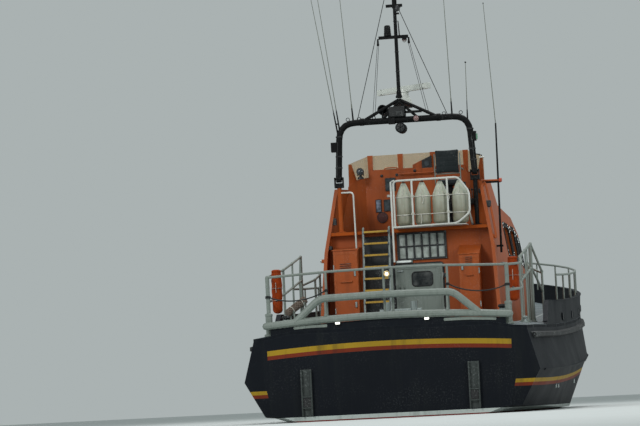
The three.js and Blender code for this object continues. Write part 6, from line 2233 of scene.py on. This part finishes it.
class LIFEBOAT_OT_foredeck(bpy.types.Operator):
    """Fits the anchor, windlass, bow roller, hatch trim and the bulwark's cap"""

    bl_idname = "lifeboat.foredeck"
    bl_label = "Foredeck gear"

    def execute(self, context):
        gear = Sketch()
        # Plough anchor stowed on chocks to starboard
        z = deck_z(0.9, 5.9) + 0.09
        shank = [(ANCHOR_X, y, z + rise) for y, rise in ((5.25, 0.02), (5.7, 0.06), (6.05, 0.04))]
        gear.sweep(curve_through(shank, 14), [0.02] * 14, 0, 10)
        gear.plate(
            [(5.98, z + 0.06), (6.32, z - 0.04), (6.02, z - 0.05)], 0, ANCHOR_X - 0.15, ANCHOR_X + 0.15
        )
        gear.ring((ANCHOR_X, 5.22, z + 0.02), (0, 1, 0.2), 0.03, 0.009, 0)
        for y in (5.35, 5.85):
            gear.block(
                (ANCHOR_X - 0.06, y - 0.03, z - 0.11), (ANCHOR_X + 0.06, y + 0.03, z + 0.02), 0.008, 1
            )
        gear.block((ANCHOR_X - 0.12, 6.04, z - 0.12), (ANCHOR_X + 0.12, 6.12, z - 0.04), 0.008, 1)
        # Windlass abaft the bitts
        y, z = WINDLASS_Y, deck_z(0, WINDLASS_Y)
        gear.block((-0.16, y - 0.12, z - 0.02), (0.16, y + 0.12, z + 0.06), 0.012, 1)
        gear.turned(
            [
                (0.1, 0.05), (0.1, 0.09), (0.06, 0.11), (0.055, 0.18), (0.09, 0.21), (0.09, 0.23),
                (0.0, 0.235)
            ],
            (0, y, z)
        )
        # Bow roller
        z = deck_edge(ROLLER_Y)[1] + 0.12
        for x in (-0.06, 0.06):
            gear.plate(
                [(7.75, z - 0.1), (8.24, z - 0.04), (8.3, z + 0.05), (8.2, z + 0.1), (7.8, z + 0.02)], 0,
                x - 0.006, x + 0.006, 0
            )
        gear.rod((-0.06, ROLLER_Y, z + 0.03), (0.06, ROLLER_Y, z + 0.03), 0.035, 2, 18)
        make(
            gear, "anchor_gear", ["galvanised steel", "black mast paint", "dark rubber"]
        )
        self.hatch_gear()
        self.bulwark_details()
        return {"FINISHED"}

    def hatch_gear(self):
        parts = Sketch()
        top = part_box(NODES["foredeck_hatch"].name)[1].z - 0.036
        loop = rounded_loop(-0.29, 0.29, 5.16, 5.74, 0.06, 5)
        parts.strap([(x, y, top + 0.003) for x, y in loop], 0.03, 0.008, 0, closed=True)
        for x in (-0.22, 0.22):
            parts.turned([(0.02, 0.0), (0.018, 0.02)], (x, 5.15, top), paint=1, sides=14)
            parts.block((x - 0.012, 5.125, top + 0.014), (x + 0.012, 5.2, top + 0.026), 0.004, 1)
        make(parts, "hatch_trim", ["grey rail paint", "stainless"], "hatch")

    def bulwark_details(self):
        cap = Sketch()
        for hand in HANDS.values():
            path = []
            for y in CAP_YS:
                edge_x, edge_z = deck_edge(y)
                rise = 0.012 + 0.4 * min(1, (y + 5.4) / 0.55)
                lean = (-0.03 + (y + 5.4) / 13.75 * 0.09) * min(1, rise / 0.4)
                x = max(edge_x - 0.004, 0.068) + lean - 0.03
                path.append((hand * x, y, edge_z + rise + 0.006))
            cap.strap(path, 0.085, 0.014, 0)
            for y in FREEING_PORT_YS:
                edge_x, edge_z = deck_edge(y)
                x = hand * (edge_x - 0.002)
                loop = rounded_loop(y - 0.19, y + 0.19, edge_z + 0.05, edge_z + 0.17, 0.05, 4)
                cap.sweep([(x, a, b) for a, b in loop], 0.012, 0, 8, closed=True)
                cap.plate(loop, 0, x - hand * 0.004, x + hand * 0.004, 1)
        make(cap, "bulwark_cap", ["navy topcoat", "dark rubber"])


SPRAY_RAIL_YS = [-7.5 + 0.5 * k for k in range(31)]
ANODES = {-7.2: -0.52, -5.9: -0.52, -2.0: -0.52, 1.0: -0.5}  # y: height
OUTLETS = ((-5.2, 0.42), (-4.8, 0.42), (-1.5, 0.5))  # y, height

class LIFEBOAT_OT_hull_fittings(bpy.types.Operator):
    """Fits the spray rails, anodes and outlets"""

    bl_idname = "lifeboat.hull_fittings"
    bl_label = "Hull fittings"

    def execute(self, context):
        rails = Sketch()
        for hand in HANDS.values():
            path = []
            for y in SPRAY_RAIL_YS:
                x, z = hull_knuckle(y)
                path.append((hand * (x - 0.004), y, z - 0.01))
            outline = [(-0.03, -0.012), (0.03, -0.012), (0.012, 0.02), (-0.012, 0.02)]
            rails.sweep(path, 1.0, 0, section=outline, up=UP)
        make(rails, "spray_rails", ["navy topcoat"])
        parts = Sketch()
        for hand in HANDS.values():
            for y, z in ANODES.items():
                chine_x = along(HULL_LINES, y)[1]
                x = hand * chine_x * 0.55
                parts.block((x - 0.06, y - 0.16, z - 0.04), (x + 0.06, y + 0.16, z + 0.04), 0.02, 0)
            for y, z in OUTLETS:
                x = hull_x(y, z)
                parts.turned(
                    [(0.05, -0.01), (0.05, 0.01), (0.038, 0.016), (0.03, 0.016), (0.026, -0.004)],
                    (hand * x, y, z), (hand, 0, 0), 1, 20
                )
        make(parts, "anodes_and_outlets", ["zinc", "stainless"])
        return {"FINISHED"}


class LIFEBOAT_PT_panel(bpy.types.Panel):
    """Lists the boat's settings and the steps that build it"""

    bl_idname = "LIFEBOAT_PT_panel"
    bl_label = "Rescue lifeboat"
    bl_space_type = "VIEW_3D"
    bl_region_type = "UI"
    bl_category = "Lifeboat"

    def draw(self, context):
        for group in (
            context.scene.lifeboat_stage, context.scene.lifeboat_sizes, context.scene.lifeboat_colours
        ):
            box = self.layout.box()
            for name in group.bl_rna.properties.keys():
                if name not in ("rna_type", "name"):
                    box.prop(group, name)
        for step in STEPS:
            self.layout.operator(step.bl_idname)


STEPS = [
    LIFEBOAT_OT_stage,
    LIFEBOAT_OT_guard_ropes,
    LIFEBOAT_OT_solid_finishes,
    LIFEBOAT_OT_fenders,
    LIFEBOAT_OT_rescue_bags,
    LIFEBOAT_OT_seats,
    LIFEBOAT_OT_stern,
    LIFEBOAT_OT_windows,
    LIFEBOAT_OT_casing_fittings,
    LIFEBOAT_OT_aft_face,
    LIFEBOAT_OT_cockpit,
    LIFEBOAT_OT_mast_fittings,
    LIFEBOAT_OT_foredeck,
    LIFEBOAT_OT_hull_fittings,
]
SETTINGS = {
    "lifeboat_colours": LifeboatColours,
    "lifeboat_sizes": LifeboatSizes,
    "lifeboat_stage": LifeboatStage,
}


def register():
    for kind in (*SETTINGS.values(), *STEPS, LIFEBOAT_PT_panel):
        bpy.utils.register_class(kind)
    for name, kind in SETTINGS.items():
        setattr(bpy.types.Scene, name, bpy.props.PointerProperty(type=kind))


def unregister():
    for name in SETTINGS:
        delattr(bpy.types.Scene, name)
    for kind in (LIFEBOAT_PT_panel, *reversed(STEPS), *SETTINGS.values()):
        bpy.utils.unregister_class(kind)


def main():
    """Builds the whole boat."""
    register()
    for step in STEPS:
        group, name = step.bl_idname.split(".")
        getattr(getattr(bpy.ops, group), name)()


if __name__ == "__main__":
    main()
